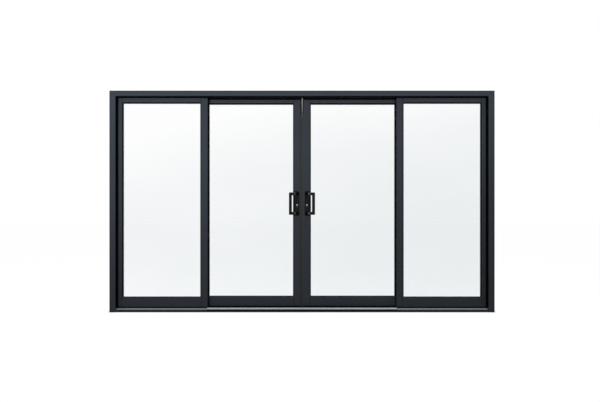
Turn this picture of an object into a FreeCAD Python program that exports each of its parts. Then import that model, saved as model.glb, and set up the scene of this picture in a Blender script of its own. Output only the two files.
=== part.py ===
import FreeCAD, Part
import Sketcher
import math
import os
import re

# Glass sliding patio door with two fixed outer panels and two sliding leaves
# Millimetres, X to the right, Y into the room, Z up, origin under the middle of the sill

# Driving dimensions
SIZES = {
    # outer frame
    "door_width": 3650,
    "door_height": 2100,
    "jamb_face": 61,
    "head_face": 55,
    "lip_width": 10,
    "lip_setback": 4,
    "face_bevel": 8,
    "face_bevel_drop": 6,
    "front_reveal": 54,
    "rear_flange": 5,
    "frame_wall": 3,
    "mitre_spare": 8,
    "slot_depth": 20,
    "slot_play": 1,
    "screw_hole_radius": 5.5,
    "screw_end": 150,
    # sill
    "sill_setback": 6,
    "nose_height": 24,
    "land_height": 33,
    "land_edge": 2,
    "land_wall": 4.5,
    "front_floor": 20,
    "rear_floor": 16,
    "track_height": 36,
    "track_width": 4,
    "upstand_height": 50,
    "cover_thickness": 2,
    "cover_leg": 9,
    "cover_back": 4,
    "filler_leg": 18,
    # panels
    "panel_thickness": 36,
    "lane_gap": 14,
    "running_gap": 5,
    "under_gap": 7,
    "head_insert": 12,
    "side_insert": 17,
    "interlock_place": 902,
    "centre_gap": 16,
    "stile_width": 62,
    "top_rail_height": 60,
    "bottom_rail_height": 90,
    "member_wall": 2.5,
    "edge_bevel": 8,
    "edge_bevel_drop": 2.5,
    "leg": 5,
    "pocket_depth": 17,
    "fin_inset": 26,
    "fin_length": 9,
    "fin_wall": 3,
    "packer_inset": 6,
    # glazing
    "pane": 4,
    "glass_thickness": 20,
    "glass_bite": 14,
    "gasket_grip": 8,
    "gasket_width": 6,
    "gasket_rise": 1.5,
    "gasket_tip": 1,
    "spacer_inset": 2,
    "spacer_width": 9,
    # rollers
    "roller_groove_width": 20,
    "roller_groove_depth": 30,
    "groove_play": 0.3,
    "roller_radius": 14,
    "roller_width": 6,
    "roller_rim": 2,
    "roller_seat": 0.3,
    "carriage_length": 70,
    "carriage_cheek": 3,
    "cheek_drop": 5,
    "wheel_room": 2,
    "axle_radius": 4,
    "roller_place": 120,
    # pulls and lock
    "plate_width": 44,
    "plate_height": 232,
    "plate_thickness": 8,
    "plate_chamfer": 2.5,
    "plate_place": 52,
    "pull_height": 1029,
    "grip_spread": 189,
    "grip_reach": 70,
    "arm_root": 58,
    "arm_angle": 40,
    "boss_width": 26,
    "boss_height": 30,
    "boss_thickness": 7,
    "boss_edge": 2,
    "bar_width": 20,
    "bar_height": 26,
    "bar_chamfer": 5,
    "lock_drop": 13,
    "lock_place": 47,
    "plug_radius": 8,
    "plug_play": 0.3,
    "plug_proud": 1.5,
    "turn_length": 34,
    "turn_width": 9,
    "turn_depth": 14,
    # meeting bead and buffers
    "bead_width": 10,
    "bead_web": 3,
    "bead_recess": 8,
    "lip_back": 15,
    "lip_leg": 12,
    "lip_reach": 21,
    "buffer_reach": 50,
    "buffer_width": 20,
    "buffer_height": 40,
    "buffer_end": 120,
    "buffer_chamfer": 4,
}

# Fixing screws through the head and through each jamb
HEAD_SCREWS = 6
JAMB_SCREWS = 4

doc = FreeCAD.newDocument("patio_door")
sheet = doc.addObject("Spreadsheet::Sheet", "sizes")
for row, (alias, value) in enumerate(SIZES.items(), 1):
    sheet.set(f"A{row}", alias)
    sheet.set(f"B{row}", str(value))
    sheet.setAlias(f"B{row}", alias)
doc.recompute()

# Places worked out from the driving dimensions, as expressions on the sheet

# Depth: the front face of the frame, the fixed panels, the leaves and the rear flange
FRONT = "(-(front_reveal + 2 * panel_thickness + lane_gap + running_gap + rear_flange) / 2)"
FIXED_FRONT = f"({FRONT} + front_reveal)"
FIXED_BACK = f"({FIXED_FRONT} + panel_thickness)"
LEAF_FRONT = f"({FIXED_BACK} + lane_gap)"
LEAF_MIDDLE = f"({LEAF_FRONT} + panel_thickness / 2)"
LEAF_BACK = f"({LEAF_FRONT} + panel_thickness)"
SLOT_1_FRONT = f"({FIXED_FRONT} - slot_play)"
SLOT_1_BACK = f"({FIXED_BACK} + slot_play)"
SLOT_2_FRONT = f"({LEAF_FRONT} - running_gap)"
SLOT_2_BACK = f"({LEAF_BACK} + running_gap)"
REAR = f"({SLOT_2_BACK} + rear_flange)"

# Height: the underside of the head, the panels and the covers on the sill
SOFFIT = "(door_height - head_face)"
PANEL_BASE = "(land_height + cover_thickness + under_gap)"
PANEL_TOP = f"({SOFFIT} + head_insert)"
TRACK_CENTRE = f"(track_height + roller_seat + roller_radius)"

# Width, as distances from the middle of the door
JAMB_INSIDE = "(door_width / 2 - jamb_face)"
FIXED_FAR = f"({JAMB_INSIDE} + side_insert)"
FIXED_NEAR = "interlock_place"
LEAF_FAR = "(interlock_place + stile_width)"
LEAF_NEAR = "centre_gap"

LOCK_HEIGHT = "(pull_height - lock_drop)"

LEFT = "-1"
RIGHT = "1"
SIDES = {"left": LEFT, "right": RIGHT}

nodes = []


def bound(text):
    """The expression with each size named as a cell of the sheet."""
    return re.sub(r"\b[a-z]\w*", r"sizes.\g<0>", text)


def bind(thing, field, text):
    thing.setExpression(field, bound(text))


def place(thing, x="0", y="0", z="0"):
    for axis, text in zip("xyz", (x, y, z)):
        bind(thing, f"Placement.Base.{axis}", text)


def new_body(name):
    return doc.addObject("PartDesign::Body", name)


def node(name, thing):
    """Name a finished sub-part and keep it for the parts folder."""
    thing.Label = name
    nodes.append(thing)
    return thing


def origin_plane(body, role):
    return next(item for item in body.Origin.OriginFeatures if item.Role == role)


def new_sketch(body, name, role, offset=("0", "0", "0"), turn=0):
    """A sketch on an origin plane, shifted by offset and turned about its upright axis."""
    sketch = body.newObject("Sketcher::SketchObject", name)
    sketch.AttachmentSupport = [(origin_plane(body, role), "")]
    sketch.MapMode = "FlatFace"
    sketch.AttachmentOffset = FreeCAD.Placement(
        FreeCAD.Vector(), FreeCAD.Rotation(FreeCAD.Vector(0, 1, 0), turn)
    )
    for axis, text in zip("xyz", offset):
        bind(sketch, f"AttachmentOffset.Base.{axis}", text)
    return sketch


def fix_point(sketch, geometry, point, x, y, start):
    """Hold one point of the sketch at the expressions x and y from its origin."""
    for kind, text, value in (("DistanceX", x, start.x), ("DistanceY", y, start.y)):
        index = sketch.addConstraint(
            Sketcher.Constraint(kind, -1, 1, geometry, point, value)
        )
        sketch.setExpression(f"Constraints[{index}]", bound(text))


def draw_outline(sketch, points):
    """A closed outline of straight lines through the points, given as expressions."""
    first = sketch.GeometryCount
    count = len(points)
    ring = [
        FreeCAD.Vector(math.cos(2 * math.pi * i / count), math.sin(2 * math.pi * i / count), 0)
        for i in range(count)
    ]
    for i in range(count):
        sketch.addGeometry(Part.LineSegment(ring[i], ring[(i + 1) % count]), False)
    for i in range(count):
        sketch.addConstraint(
            Sketcher.Constraint("Coincident", first + i, 2, first + (i + 1) % count, 1)
        )
    for i, (x, y) in enumerate(points):
        fix_point(sketch, first + i, 1, x, y, ring[i])


def box_points(x_low, x_high, y_low, y_high):
    return [(x_low, y_low), (x_high, y_low), (x_high, y_high), (x_low, y_high)]


def draw_box(sketch, x_low, x_high, y_low, y_high):
    draw_outline(sketch, box_points(x_low, x_high, y_low, y_high))


def draw_circle(sketch, x, y, radius):
    start = FreeCAD.Vector(1, 1, 0)
    circle = sketch.addGeometry(Part.Circle(start, FreeCAD.Vector(0, 0, 1), 1), False)
    fix_point(sketch, circle, 3, x, y, start)
    index = sketch.addConstraint(Sketcher.Constraint("Radius", circle, 1))
    sketch.setExpression(f"Constraints[{index}]", bound(radius))


def add_pad(body, sketch, length, backwards=False, both_ways=False):
    pad = body.newObject("PartDesign::Pad", f"{sketch.Name}_pad")
    pad.Profile = sketch
    bind(pad, "Length", length)
    pad.Reversed = backwards
    pad.Midplane = both_ways
    return pad


def cut_through(body, sketch):
    pocket = body.newObject("PartDesign::Pocket", f"{sketch.Name}_cut")
    pocket.Profile = sketch
    pocket.Type = "ThroughAll"
    pocket.SideType = "Symmetric"
    return pocket


def extrude(name, role, outlines, length, **start):
    """One extrusion: an outer outline, then the outlines of its chambers."""
    body = new_body(name)
    sketch = new_sketch(body, f"{name}_profile", role)
    for points in outlines:
        draw_outline(sketch, points)
    add_pad(body, sketch, length)
    place(body, **start)
    return body


def joined(name, parts):
    """One node of several solids that do not touch."""
    compound = doc.addObject("Part::Compound", name)
    compound.Links = parts
    return compound


# Outer frame


def frame_profile(face):
    """Section of the head and jambs: depth from the outside inwards, then Y."""
    roof = f"({face} - slot_depth)"
    outer = [
        ("0", f"{FRONT} + lip_setback"),
        ("lip_width", f"{FRONT} + lip_setback"),
        ("lip_width", FRONT),
        (f"{face} - face_bevel", FRONT),
        (face, f"{FRONT} + face_bevel_drop"),
        (face, SLOT_1_FRONT),
        (roof, SLOT_1_FRONT),
        (roof, SLOT_1_BACK),
        (face, SLOT_1_BACK),
        (face, SLOT_2_FRONT),
        (roof, SLOT_2_FRONT),
        (roof, SLOT_2_BACK),
        (face, SLOT_2_BACK),
        (face, REAR),
        ("0", REAR),
    ]
    front_chamber = box_points(
        "frame_wall",
        f"{face} - frame_wall",
        f"{FRONT} + face_bevel_drop + frame_wall",
        f"{SLOT_1_FRONT} - frame_wall",
    )
    rear_chamber = box_points(
        "frame_wall", f"{roof} - frame_wall", SLOT_1_FRONT, f"{REAR} - frame_wall"
    )
    return [outer, front_chamber, rear_chamber]


def mitre_cut(body, name, corner, run, drop, keep_below):
    """Cut the corner along the line that falls by drop over run from its outer point."""
    sketch = new_sketch(body, name, "XZ_Plane")
    x, z = corner
    spare = f"mitre_spare / {drop}"
    high = (f"{x} - ({run}) * {spare}", f"{z} + mitre_spare")
    low = (f"{x} + ({run}) * (1 + {spare})", f"{z} - {drop} - mitre_spare")
    square = (low[0], high[1]) if keep_below else (high[0], low[1])
    draw_outline(sketch, [high, low, square])
    cut_through(body, sketch)


def make_head():
    outlines = [
        [(y, f"door_height - ({down})") for down, y in points]
        for points in frame_profile("head_face")
    ]
    length = "(door_width - 2 * lip_width)"
    body = extrude("head", "YZ_Plane", outlines, length, x=f"-{length} / 2")
    mitre_cut(
        body, "head_left_mitre", ("0", "door_height"), "(jamb_face - lip_width)", "head_face", False
    )
    mitre_cut(
        body, "head_right_mitre", (length, "door_height"), "-(jamb_face - lip_width)", "head_face", False
    )
    screws = new_sketch(body, "head_screws", "XY_Plane")
    for step in range(HEAD_SCREWS):
        share = f"({step} / {HEAD_SCREWS - 1} - 0.5)"
        across = f"{length} / 2 + {share} * (door_width - 2 * screw_end)"
        draw_circle(screws, across, LEAF_MIDDLE, "screw_hole_radius")
    cut_through(body, screws)
    node("head", body)


def make_jamb(side, name):
    outlines = [
        [(f"{side} * (door_width / 2 - ({inwards}))", y) for inwards, y in points]
        for points in frame_profile("jamb_face")
    ]
    body = extrude(name, "XY_Plane", outlines, "door_height")
    mitre_cut(
        body,
        f"{name}_mitre",
        (f"{side} * (door_width / 2 - lip_width)", "door_height"),
        f"({side} * (lip_width - jamb_face))",
        "head_face",
        True,
    )
    screws = new_sketch(body, f"{name}_screws", "YZ_Plane")
    for step in range(JAMB_SCREWS):
        share = f"({step} / {JAMB_SCREWS - 1})"
        up = f"screw_end + {share} * (door_height - 2 * screw_end)"
        draw_circle(screws, LEAF_MIDDLE, up, "screw_hole_radius")
    cut_through(body, screws)
    node(name, body)


def make_sill():
    nose = f"({FRONT} + sill_setback)"
    land = f"({SLOT_1_FRONT} - land_edge)"
    slope = f"((land_height - nose_height) / (({land}) - ({nose})))"
    outer = [
        (nose, "0"),
        (nose, "nose_height"),
        (land, "land_height"),
        (SLOT_1_FRONT, "land_height"),
        (SLOT_1_FRONT, "front_floor"),
        (SLOT_1_BACK, "front_floor"),
        (SLOT_1_BACK, "land_height"),
        (SLOT_2_FRONT, "land_height"),
        (SLOT_2_FRONT, "rear_floor"),
        (f"{LEAF_MIDDLE} - track_width / 2", "rear_floor"),
        (f"{LEAF_MIDDLE} - track_width / 2", "track_height"),
        (f"{LEAF_MIDDLE} + track_width / 2", "track_height"),
        (f"{LEAF_MIDDLE} + track_width / 2", "rear_floor"),
        (SLOT_2_BACK, "rear_floor"),
        (SLOT_2_BACK, "upstand_height"),
        (REAR, "upstand_height"),
        (REAR, "0"),
    ]
    nose_chamber = [
        (f"{nose} + frame_wall", "frame_wall"),
        (land, "frame_wall"),
        (land, "land_height - land_wall"),
        (f"{nose} + frame_wall", "nose_height - frame_wall"),
    ]
    front_chamber = box_points(
        SLOT_1_FRONT, SLOT_1_BACK, "frame_wall", "front_floor - frame_wall"
    )
    rear_chamber = box_points(
        f"{SLOT_2_FRONT} - frame_wall",
        f"{REAR} - frame_wall",
        "frame_wall",
        "rear_floor - frame_wall",
    )
    outlines = [outer, nose_chamber, front_chamber, rear_chamber]
    length = f"(2 * {JAMB_INSIDE})"
    body = extrude("sill", "YZ_Plane", outlines, length, x=f"-{length} / 2")
    node("sill", body)


def cover_front():
    """The part of a sill cover that lies on the slope, and its Y at the nose."""
    nose = f"({FRONT} + sill_setback)"
    land = f"({SLOT_1_FRONT} - land_edge)"
    start = f"({nose} + cover_back)"
    fall = f"((land_height - nose_height) * cover_back / (({land}) - ({nose})))"
    return start, f"(nose_height + {fall})", land


def make_sill_ramps():
    """A pale cover strip on the slope in front of each fixed panel."""
    start, low, land = cover_front()
    leg_back = f"{SLOT_1_FRONT} + cover_thickness"
    outline = [
        (start, low),
        (land, "land_height"),
        (SLOT_1_FRONT, "land_height"),
        (SLOT_1_FRONT, "land_height - cover_leg"),
        (leg_back, "land_height - cover_leg"),
        (leg_back, "land_height + cover_thickness"),
        (land, "land_height + cover_thickness"),
        (start, f"{low} + cover_thickness"),
    ]
    length = f"({JAMB_INSIDE} - {FIXED_NEAR})"
    strips = []
    for name, x in (("left", f"-{JAMB_INSIDE}"), ("right", FIXED_NEAR)):
        strips.append(extrude(f"{name}_ramp", "YZ_Plane", [outline], length, x=x))
    node("sill_ramps", joined("ramps", strips))


def make_threshold_cover():
    """The pale snap-in cover over the empty front channel between the fixed panels."""
    start, low, land = cover_front()
    first_leg = f"{SLOT_1_FRONT} + cover_thickness"
    second_leg = f"{SLOT_1_BACK} - cover_thickness"
    outline = [
        (start, low),
        (land, "land_height"),
        (SLOT_1_FRONT, "land_height"),
        (SLOT_1_FRONT, "land_height - cover_leg"),
        (first_leg, "land_height - cover_leg"),
        (first_leg, "land_height"),
        (second_leg, "land_height"),
        (second_leg, "land_height - cover_leg"),
        (SLOT_1_BACK, "land_height - cover_leg"),
        (SLOT_1_BACK, "land_height"),
        (SLOT_2_FRONT, "land_height"),
        (SLOT_2_FRONT, "land_height + cover_thickness"),
        (land, "land_height + cover_thickness"),
        (start, f"{low} + cover_thickness"),
    ]
    length = f"(2 * {FIXED_NEAR})"
    body = extrude("cover", "YZ_Plane", [outline], length, x=f"-{length} / 2")
    node("threshold_cover", body)


def make_head_filler():
    """The dark strip that closes the front channel of the head between the fixed panels."""
    outline = [
        (SLOT_1_FRONT, SOFFIT),
        (SLOT_1_BACK, SOFFIT),
        (SLOT_1_BACK, f"{SOFFIT} + filler_leg"),
        (f"{SLOT_1_BACK} - cover_thickness", f"{SOFFIT} + filler_leg"),
        (f"{SLOT_1_BACK} - cover_thickness", f"{SOFFIT} + cover_thickness"),
        (f"{SLOT_1_FRONT} + cover_thickness", f"{SOFFIT} + cover_thickness"),
        (f"{SLOT_1_FRONT} + cover_thickness", f"{SOFFIT} + filler_leg"),
        (SLOT_1_FRONT, f"{SOFFIT} + filler_leg"),
    ]
    length = f"(2 * {FIXED_NEAR})"
    body = extrude("filler", "YZ_Plane", [outline], length, x=f"-{length} / 2")
    node("head_filler", body)


def make_panel_packers():
    """The strips that the fixed panels stand on, in the front channel of the sill."""
    outline = box_points(
        f"{FIXED_FRONT} + packer_inset", f"{FIXED_BACK} - packer_inset", "front_floor", PANEL_BASE
    )
    length = f"({JAMB_INSIDE} - {FIXED_NEAR})"
    strips = []
    for name, x in (("left", f"-{JAMB_INSIDE}"), ("right", FIXED_NEAR)):
        strips.append(extrude(f"{name}_packer", "YZ_Plane", [outline], length, x=x))
    node("panel_packers", joined("packers", strips))


def make_leaf_buffers():
    """Rubber stops on the jambs, level with the rear track, low and high."""
    blocks = []
    slot_floor = f"({JAMB_INSIDE} + slot_depth)"
    for name, side in SIDES.items():
        for level, z in (("low", "buffer_end"), ("high", f"{SOFFIT} - buffer_end")):
            body = new_body(f"{name}_{level}_buffer")
            sketch = new_sketch(body, f"{name}_{level}_buffer_face", "YZ_Plane")
            draw_box(
                sketch,
                f"{LEAF_MIDDLE} - buffer_width / 2",
                f"{LEAF_MIDDLE} + buffer_width / 2",
                f"{z} - buffer_height / 2",
                f"{z} + buffer_height / 2",
            )
            pad = add_pad(body, sketch, "buffer_reach", backwards=side == RIGHT)
            place(body, x=f"{side} * {slot_floor}")
            doc.recompute()
            soften_front(body, pad, 1 if side == LEFT else -1)
            blocks.append(body)
    node("leaf_buffers", joined("buffers", blocks))


def soften_front(body, pad, direction):
    """Take off the edges of the face that looks along X in the given direction."""
    faces = [
        f"Face{number}"
        for number, face in enumerate(pad.Shape.Faces, 1)
        if face.normalAt(0, 0).x * direction > 0.9
    ]
    chamfer = body.newObject("PartDesign::Chamfer", f"{pad.Name}_nose")
    chamfer.Base = (pad, faces)
    bind(chamfer, "Size", "buffer_chamfer")


# Panels and leaves


def member_profile(width, groove=False):
    """Section of a stile or rail: distance from its outer edge, then depth from its front."""
    base = "roller_groove_depth" if groove else "0"
    half = "roller_groove_width / 2"
    outer = [
        ("0", "0"),
        (f"{width} - edge_bevel", "0"),
        (width, "edge_bevel_drop"),
        (width, "leg"),
        (f"{width} - pocket_depth", "leg"),
        (f"{width} - pocket_depth", "panel_thickness - leg"),
        (width, "panel_thickness - leg"),
        (width, "panel_thickness - edge_bevel_drop"),
        (f"{width} - edge_bevel", "panel_thickness"),
        ("0", "panel_thickness"),
    ]
    if groove:
        outer += [
            ("0", f"panel_thickness / 2 + {half}"),
            ("roller_groove_depth", f"panel_thickness / 2 + {half}"),
            ("roller_groove_depth", f"panel_thickness / 2 - {half}"),
            ("0", f"panel_thickness / 2 - {half}"),
        ]
    chamber = box_points(
        f"{base} + member_wall",
        f"{width} - pocket_depth - member_wall",
        "member_wall",
        "panel_thickness - member_wall",
    )
    return [outer, chamber]


def make_stile(name, side, edge, inwards, front, fin=None):
    """An upright: edge is the place of its outer edge and inwards the sense to the glass."""
    outlines = [
        [(f"{side} * ({edge} {inwards} ({across}))", f"{front} + ({deep})") for across, deep in points]
        for points in member_profile("stile_width")
    ]
    height = f"({PANEL_TOP} - {PANEL_BASE})"
    body = extrude(f"{name}_bar", "XY_Plane", outlines, height, z=PANEL_BASE)
    if fin:
        near, far, low, high = fin
        sketch = new_sketch(body, f"{name}_fin", "XY_Plane")
        draw_box(sketch, f"{side} * ({near})", f"{side} * ({far})", low, high)
        add_pad(body, sketch, f"{SOFFIT} - running_gap - {PANEL_BASE}")
    return body


def make_rail(name, side, near, far, front, width, edge, inwards, groove=False):
    """A level bar between the two stiles of a panel."""
    outlines = [
        [(f"{front} + ({deep})", f"{edge} {inwards} ({across})") for across, deep in points]
        for points in member_profile(width, groove)
    ]
    length = f"({far} - {near} - 2 * stile_width)"
    start = f"{near} + stile_width" if side == RIGHT else f"-({far} - stile_width)"
    return extrude(f"{name}_bar", "YZ_Plane", outlines, length, x=start)


def make_glazing(name, side, near, far, front):
    """Two panes, the spacer between them and a gasket ring on each face."""
    left = f"({near})" if side == RIGHT else f"(-({far}))"
    right = f"({far})" if side == RIGHT else f"(-({near}))"
    low = f"({PANEL_BASE} + bottom_rail_height)"
    high = f"({PANEL_TOP} - top_rail_height)"
    glass_front = f"({front} + (panel_thickness - glass_thickness) / 2)"

    panes = []
    for number, y in ((1, glass_front), (2, f"{glass_front} + glass_thickness - pane")):
        pane = doc.addObject("Part::Box", f"{name}_pane_{number}")
        bind(pane, "Length", f"{right} - {left} - 2 * (stile_width - glass_bite)")
        bind(pane, "Width", "pane")
        bind(pane, "Height", f"{high} - {low} + 2 * glass_bite")
        place(pane, f"{left} + stile_width - glass_bite", y, f"{low} - glass_bite")
        panes.append(pane)
    node(f"{name}_glass", joined(f"{name}_panes", panes))

    spacer = new_body(f"{name}_spacer_bar")
    sketch = new_sketch(spacer, f"{name}_spacer_ring", "XZ_Plane")
    for inset in ("spacer_inset", "spacer_inset + spacer_width"):
        draw_box(
            sketch,
            f"{left} + stile_width - glass_bite + {inset}",
            f"{right} - stile_width + glass_bite - ({inset})",
            f"{low} - glass_bite + {inset}",
            f"{high} + glass_bite - ({inset})",
        )
    add_pad(spacer, sketch, "glass_thickness - 2 * pane", backwards=True)
    place(spacer, y=f"{glass_front} + pane")
    node(f"{name}_spacer", spacer)

    rings = []
    for number, face, sense in ((1, front, "1"), (2, f"{front} + panel_thickness", "-1")):
        rings.append(make_gasket(f"{name}_gasket_{number}", left, right, low, high, face, sense))
    node(f"{name}_gaskets", joined(f"{name}_seals", rings))


def make_gasket(name, left, right, low, high, face, sense):
    """A rubber ring, mitred at its corners, swept along the inner edge of the legs."""
    body = new_body(name)
    path = new_sketch(body, f"{name}_path", "XZ_Plane")
    near = f"({left} + stile_width)"
    far = f"({right} - stile_width)"
    middle = f"(({left}) + ({right})) / 2"
    draw_outline(path, [(middle, low), (far, low), (far, high), (near, high), (near, low)])
    profile = new_sketch(body, f"{name}_profile", "YZ_Plane", offset=("0", "0", middle))
    seat = "(panel_thickness - glass_thickness) / 2"
    section = [
        ("leg", f"{low} - gasket_grip"),
        ("leg", low),
        ("leg - gasket_rise", low),
        (f"{seat} - gasket_tip", f"{low} + gasket_width"),
        (seat, f"{low} + gasket_width"),
        (seat, f"{low} - gasket_grip"),
    ]
    draw_outline(profile, [(f"{sense} * ({deep})", up) for deep, up in section])
    ring = body.newObject("PartDesign::AdditivePipe", f"{name}_ring")
    ring.Profile = profile
    ring.Spine = path
    ring.Transition = "Right corner"
    place(body, y=face)
    return body


def make_fixed_panel(name, side):
    fin_far = f"{FIXED_NEAR} + fin_inset + fin_wall"
    fin = (f"{FIXED_NEAR} + fin_inset", fin_far, FIXED_BACK, f"{FIXED_BACK} + fin_length")
    panel = f"{name}_fixed"
    node(f"{panel}_outer_stile", make_stile(f"{panel}_outer", side, FIXED_FAR, "-", FIXED_FRONT))
    node(
        f"{panel}_interlock_stile",
        make_stile(f"{panel}_interlock", side, FIXED_NEAR, "+", FIXED_FRONT, fin),
    )
    ends = (side, FIXED_NEAR, FIXED_FAR, FIXED_FRONT)
    node(
        f"{panel}_top_rail", make_rail(f"{panel}_top", *ends, "top_rail_height", PANEL_TOP, "-")
    )
    node(
        f"{panel}_bottom_rail",
        make_rail(f"{panel}_bottom", *ends, "bottom_rail_height", PANEL_BASE, "+"),
    )
    make_glazing(panel, *ends)


def make_leaf(name, side):
    fin_near = f"({FIXED_NEAR} + fin_inset + fin_wall + running_gap)"
    fin = (fin_near, f"{fin_near} + fin_wall", f"{LEAF_FRONT} - fin_length", LEAF_FRONT)
    leaf = f"{name}_leaf"
    node(
        f"{leaf}_interlock_stile",
        make_stile(f"{leaf}_interlock", side, LEAF_FAR, "-", LEAF_FRONT, fin),
    )
    lock_stile = make_stile(f"{leaf}_lock", side, LEAF_NEAR, "+", LEAF_FRONT)
    bore = new_sketch(lock_stile, f"{leaf}_lock_bore", "XZ_Plane")
    height = f"{LOCK_HEIGHT} - {PANEL_BASE}"
    draw_circle(bore, f"{side} * lock_place", height, "plug_radius + plug_play")
    cut_through(lock_stile, bore)
    node(f"{leaf}_lock_stile", lock_stile)
    ends = (side, LEAF_NEAR, LEAF_FAR, LEAF_FRONT)
    node(f"{leaf}_top_rail", make_rail(f"{leaf}_top", *ends, "top_rail_height", PANEL_TOP, "-"))
    node(
        f"{leaf}_bottom_rail",
        make_rail(f"{leaf}_bottom", *ends, "bottom_rail_height", PANEL_BASE, "+", groove=True),
    )
    make_glazing(leaf, *ends)
    make_rollers(leaf, side)
    for face, y, out in (("outside", LEAF_FRONT, -1), ("inside", LEAF_BACK, 1)):
        make_pull(f"{leaf}_{face}_pull", side, y, out)
    make_lock_plug(f"{leaf}_lock_plug", side)


def make_rollers(leaf, side):
    """Two carriages in the groove of the bottom rail, each with a grooved wheel."""
    carriages = []
    near = f"({LEAF_NEAR} + roller_place)"
    far = f"({LEAF_FAR} - roller_place)"
    roof = f"({PANEL_BASE} + roller_groove_depth)"
    for number, middle in ((1, near), (2, far)):
        name = f"{leaf}_roller_{number}"
        body = new_body(name)
        half = "(roller_groove_width / 2 - groove_play)"
        block = new_sketch(body, f"{name}_block", "YZ_Plane", ("0", "0", "-carriage_length / 2"))
        inner = f"({half} - carriage_cheek)"
        cheek_low = f"({TRACK_CENTRE} - cheek_drop)"
        bridge = f"({TRACK_CENTRE} + roller_radius + wheel_room)"
        draw_outline(
            block,
            [
                (f"-{half}", cheek_low),
                (f"-{inner}", cheek_low),
                (f"-{inner}", bridge),
                (inner, bridge),
                (inner, cheek_low),
                (half, cheek_low),
                (half, roof),
                (f"-{half}", roof),
            ],
        )
        add_pad(body, block, "carriage_length")
        axle = new_sketch(body, f"{name}_axle", "XZ_Plane")
        draw_circle(axle, "0", TRACK_CENTRE, "axle_radius")
        add_pad(body, axle, f"2 * {half}", both_ways=True)
        wheel = new_sketch(body, f"{name}_wheel", "YZ_Plane")
        half_width = "roller_width / 2"
        draw_outline(
            wheel,
            [
                (f"-{half_width}", TRACK_CENTRE),
                (half_width, TRACK_CENTRE),
                (half_width, f"{TRACK_CENTRE} - roller_radius - roller_rim"),
                ("track_width / 2 + roller_seat", f"{TRACK_CENTRE} - roller_radius"),
                ("-(track_width / 2 + roller_seat)", f"{TRACK_CENTRE} - roller_radius"),
                (f"-{half_width}", f"{TRACK_CENTRE} - roller_radius - roller_rim"),
            ],
        )
        turned = body.newObject("PartDesign::Revolution", f"{name}_rim")
        turned.Profile = wheel
        turned.ReferenceAxis = (wheel, ["Edge1"])
        place(body, x=f"{side} * {middle}", y=LEAF_MIDDLE)
        carriages.append(body)
    node(f"{leaf}_rollers", joined(f"{leaf}_carriages", carriages))


def make_pull(name, side, face, out):
    """A plate on the lock stile, a boss at each end and a bar that stands off over the glass."""
    body = new_body(name)
    plate = new_sketch(body, f"{name}_plate", "XZ_Plane")
    draw_box(
        plate,
        f"{side} * plate_place - plate_width / 2",
        f"{side} * plate_place + plate_width / 2",
        "pull_height - plate_height / 2",
        "pull_height + plate_height / 2",
    )
    draw_circle(plate, f"{side} * lock_place", LOCK_HEIGHT, "plug_radius + plug_play")
    pad = add_pad(body, plate, "plate_thickness", backwards=out > 0)
    doc.recompute()
    rim = body.newObject("PartDesign::Chamfer", f"{name}_soft_edge")
    rim.Base = (pad, rim_edges(pad.Shape, out * SIZES["plate_thickness"]))
    bind(rim, "Size", "plate_chamfer")

    bosses = new_sketch(body, f"{name}_bosses", "XZ_Plane", ("0", "0", f"{-out} * plate_thickness"))
    near = "(plate_place - plate_width / 2 + boss_edge)"
    for level in ("pull_height + grip_spread / 2", "pull_height - grip_spread / 2"):
        draw_box(
            bosses,
            f"{side} * {near}",
            f"{side} * ({near} + boss_width)",
            f"{level} - boss_height / 2",
            f"{level} + boss_height / 2",
        )
    add_pad(body, bosses, "boss_thickness", backwards=out > 0)

    # The bar runs out at the arm's angle, turns down at a mitre, and comes back to the plate
    heading = SIZES["arm_angle"] * out
    turn = heading if side == RIGHT else 180 - heading
    root = (f"{side} * arm_root", "0", f"{-out} * plate_thickness / 2")
    path = new_sketch(body, f"{name}_path", "XZ_Plane", root, turn)
    draw_bar_path(path)
    section = new_sketch(body, f"{name}_section", "XZ_Plane", root, turn + 90)
    draw_bar_section(section)
    bar = body.newObject("PartDesign::AdditivePipe", f"{name}_bar")
    bar.Profile = section
    bar.Spine = path
    bar.Transition = "Right corner"

    # The roots of the bar end flush with the back of the plate
    back = new_sketch(body, f"{name}_back", "XZ_Plane")
    draw_box(
        back,
        f"{side} * plate_place - 2 * plate_width",
        f"{side} * plate_place + 2 * plate_width",
        "pull_height - plate_height",
        "pull_height + plate_height",
    )
    trim = body.newObject("PartDesign::Pocket", f"{name}_trim")
    trim.Profile = back
    bind(trim, "Length", "bar_width")
    trim.Reversed = out > 0
    place(body, y=face)
    node(name, body)


def rim_edges(shape, y):
    """The four straight edges round the free face of a plate."""
    names = []
    for number, edge in enumerate(shape.Edges, 1):
        flat = all(abs(vertex.Y - y) < 0.01 for vertex in edge.Vertexes)
        if flat and len(edge.Vertexes) == 2:
            names.append(f"Edge{number}")
    return names


def draw_bar_path(sketch):
    """Out from the upper boss, down, and back to the lower boss."""
    upper = "pull_height + grip_spread / 2"
    lower = "pull_height - grip_spread / 2"
    corners = [("0", upper), ("grip_reach", upper), ("grip_reach", lower), ("0", lower)]
    places = [FreeCAD.Vector(x, y, 0) for x, y in ((0, 3), (1, 3), (1, 2), (0, 2))]
    for first, second in zip(places, places[1:]):
        sketch.addGeometry(Part.LineSegment(first, second), False)
    for line in (0, 1):
        sketch.addConstraint(Sketcher.Constraint("Coincident", line, 2, line + 1, 1))
    for line in range(3):
        fix_point(sketch, line, 1, *corners[line], places[line])
    fix_point(sketch, 2, 2, *corners[3], places[3])


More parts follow.
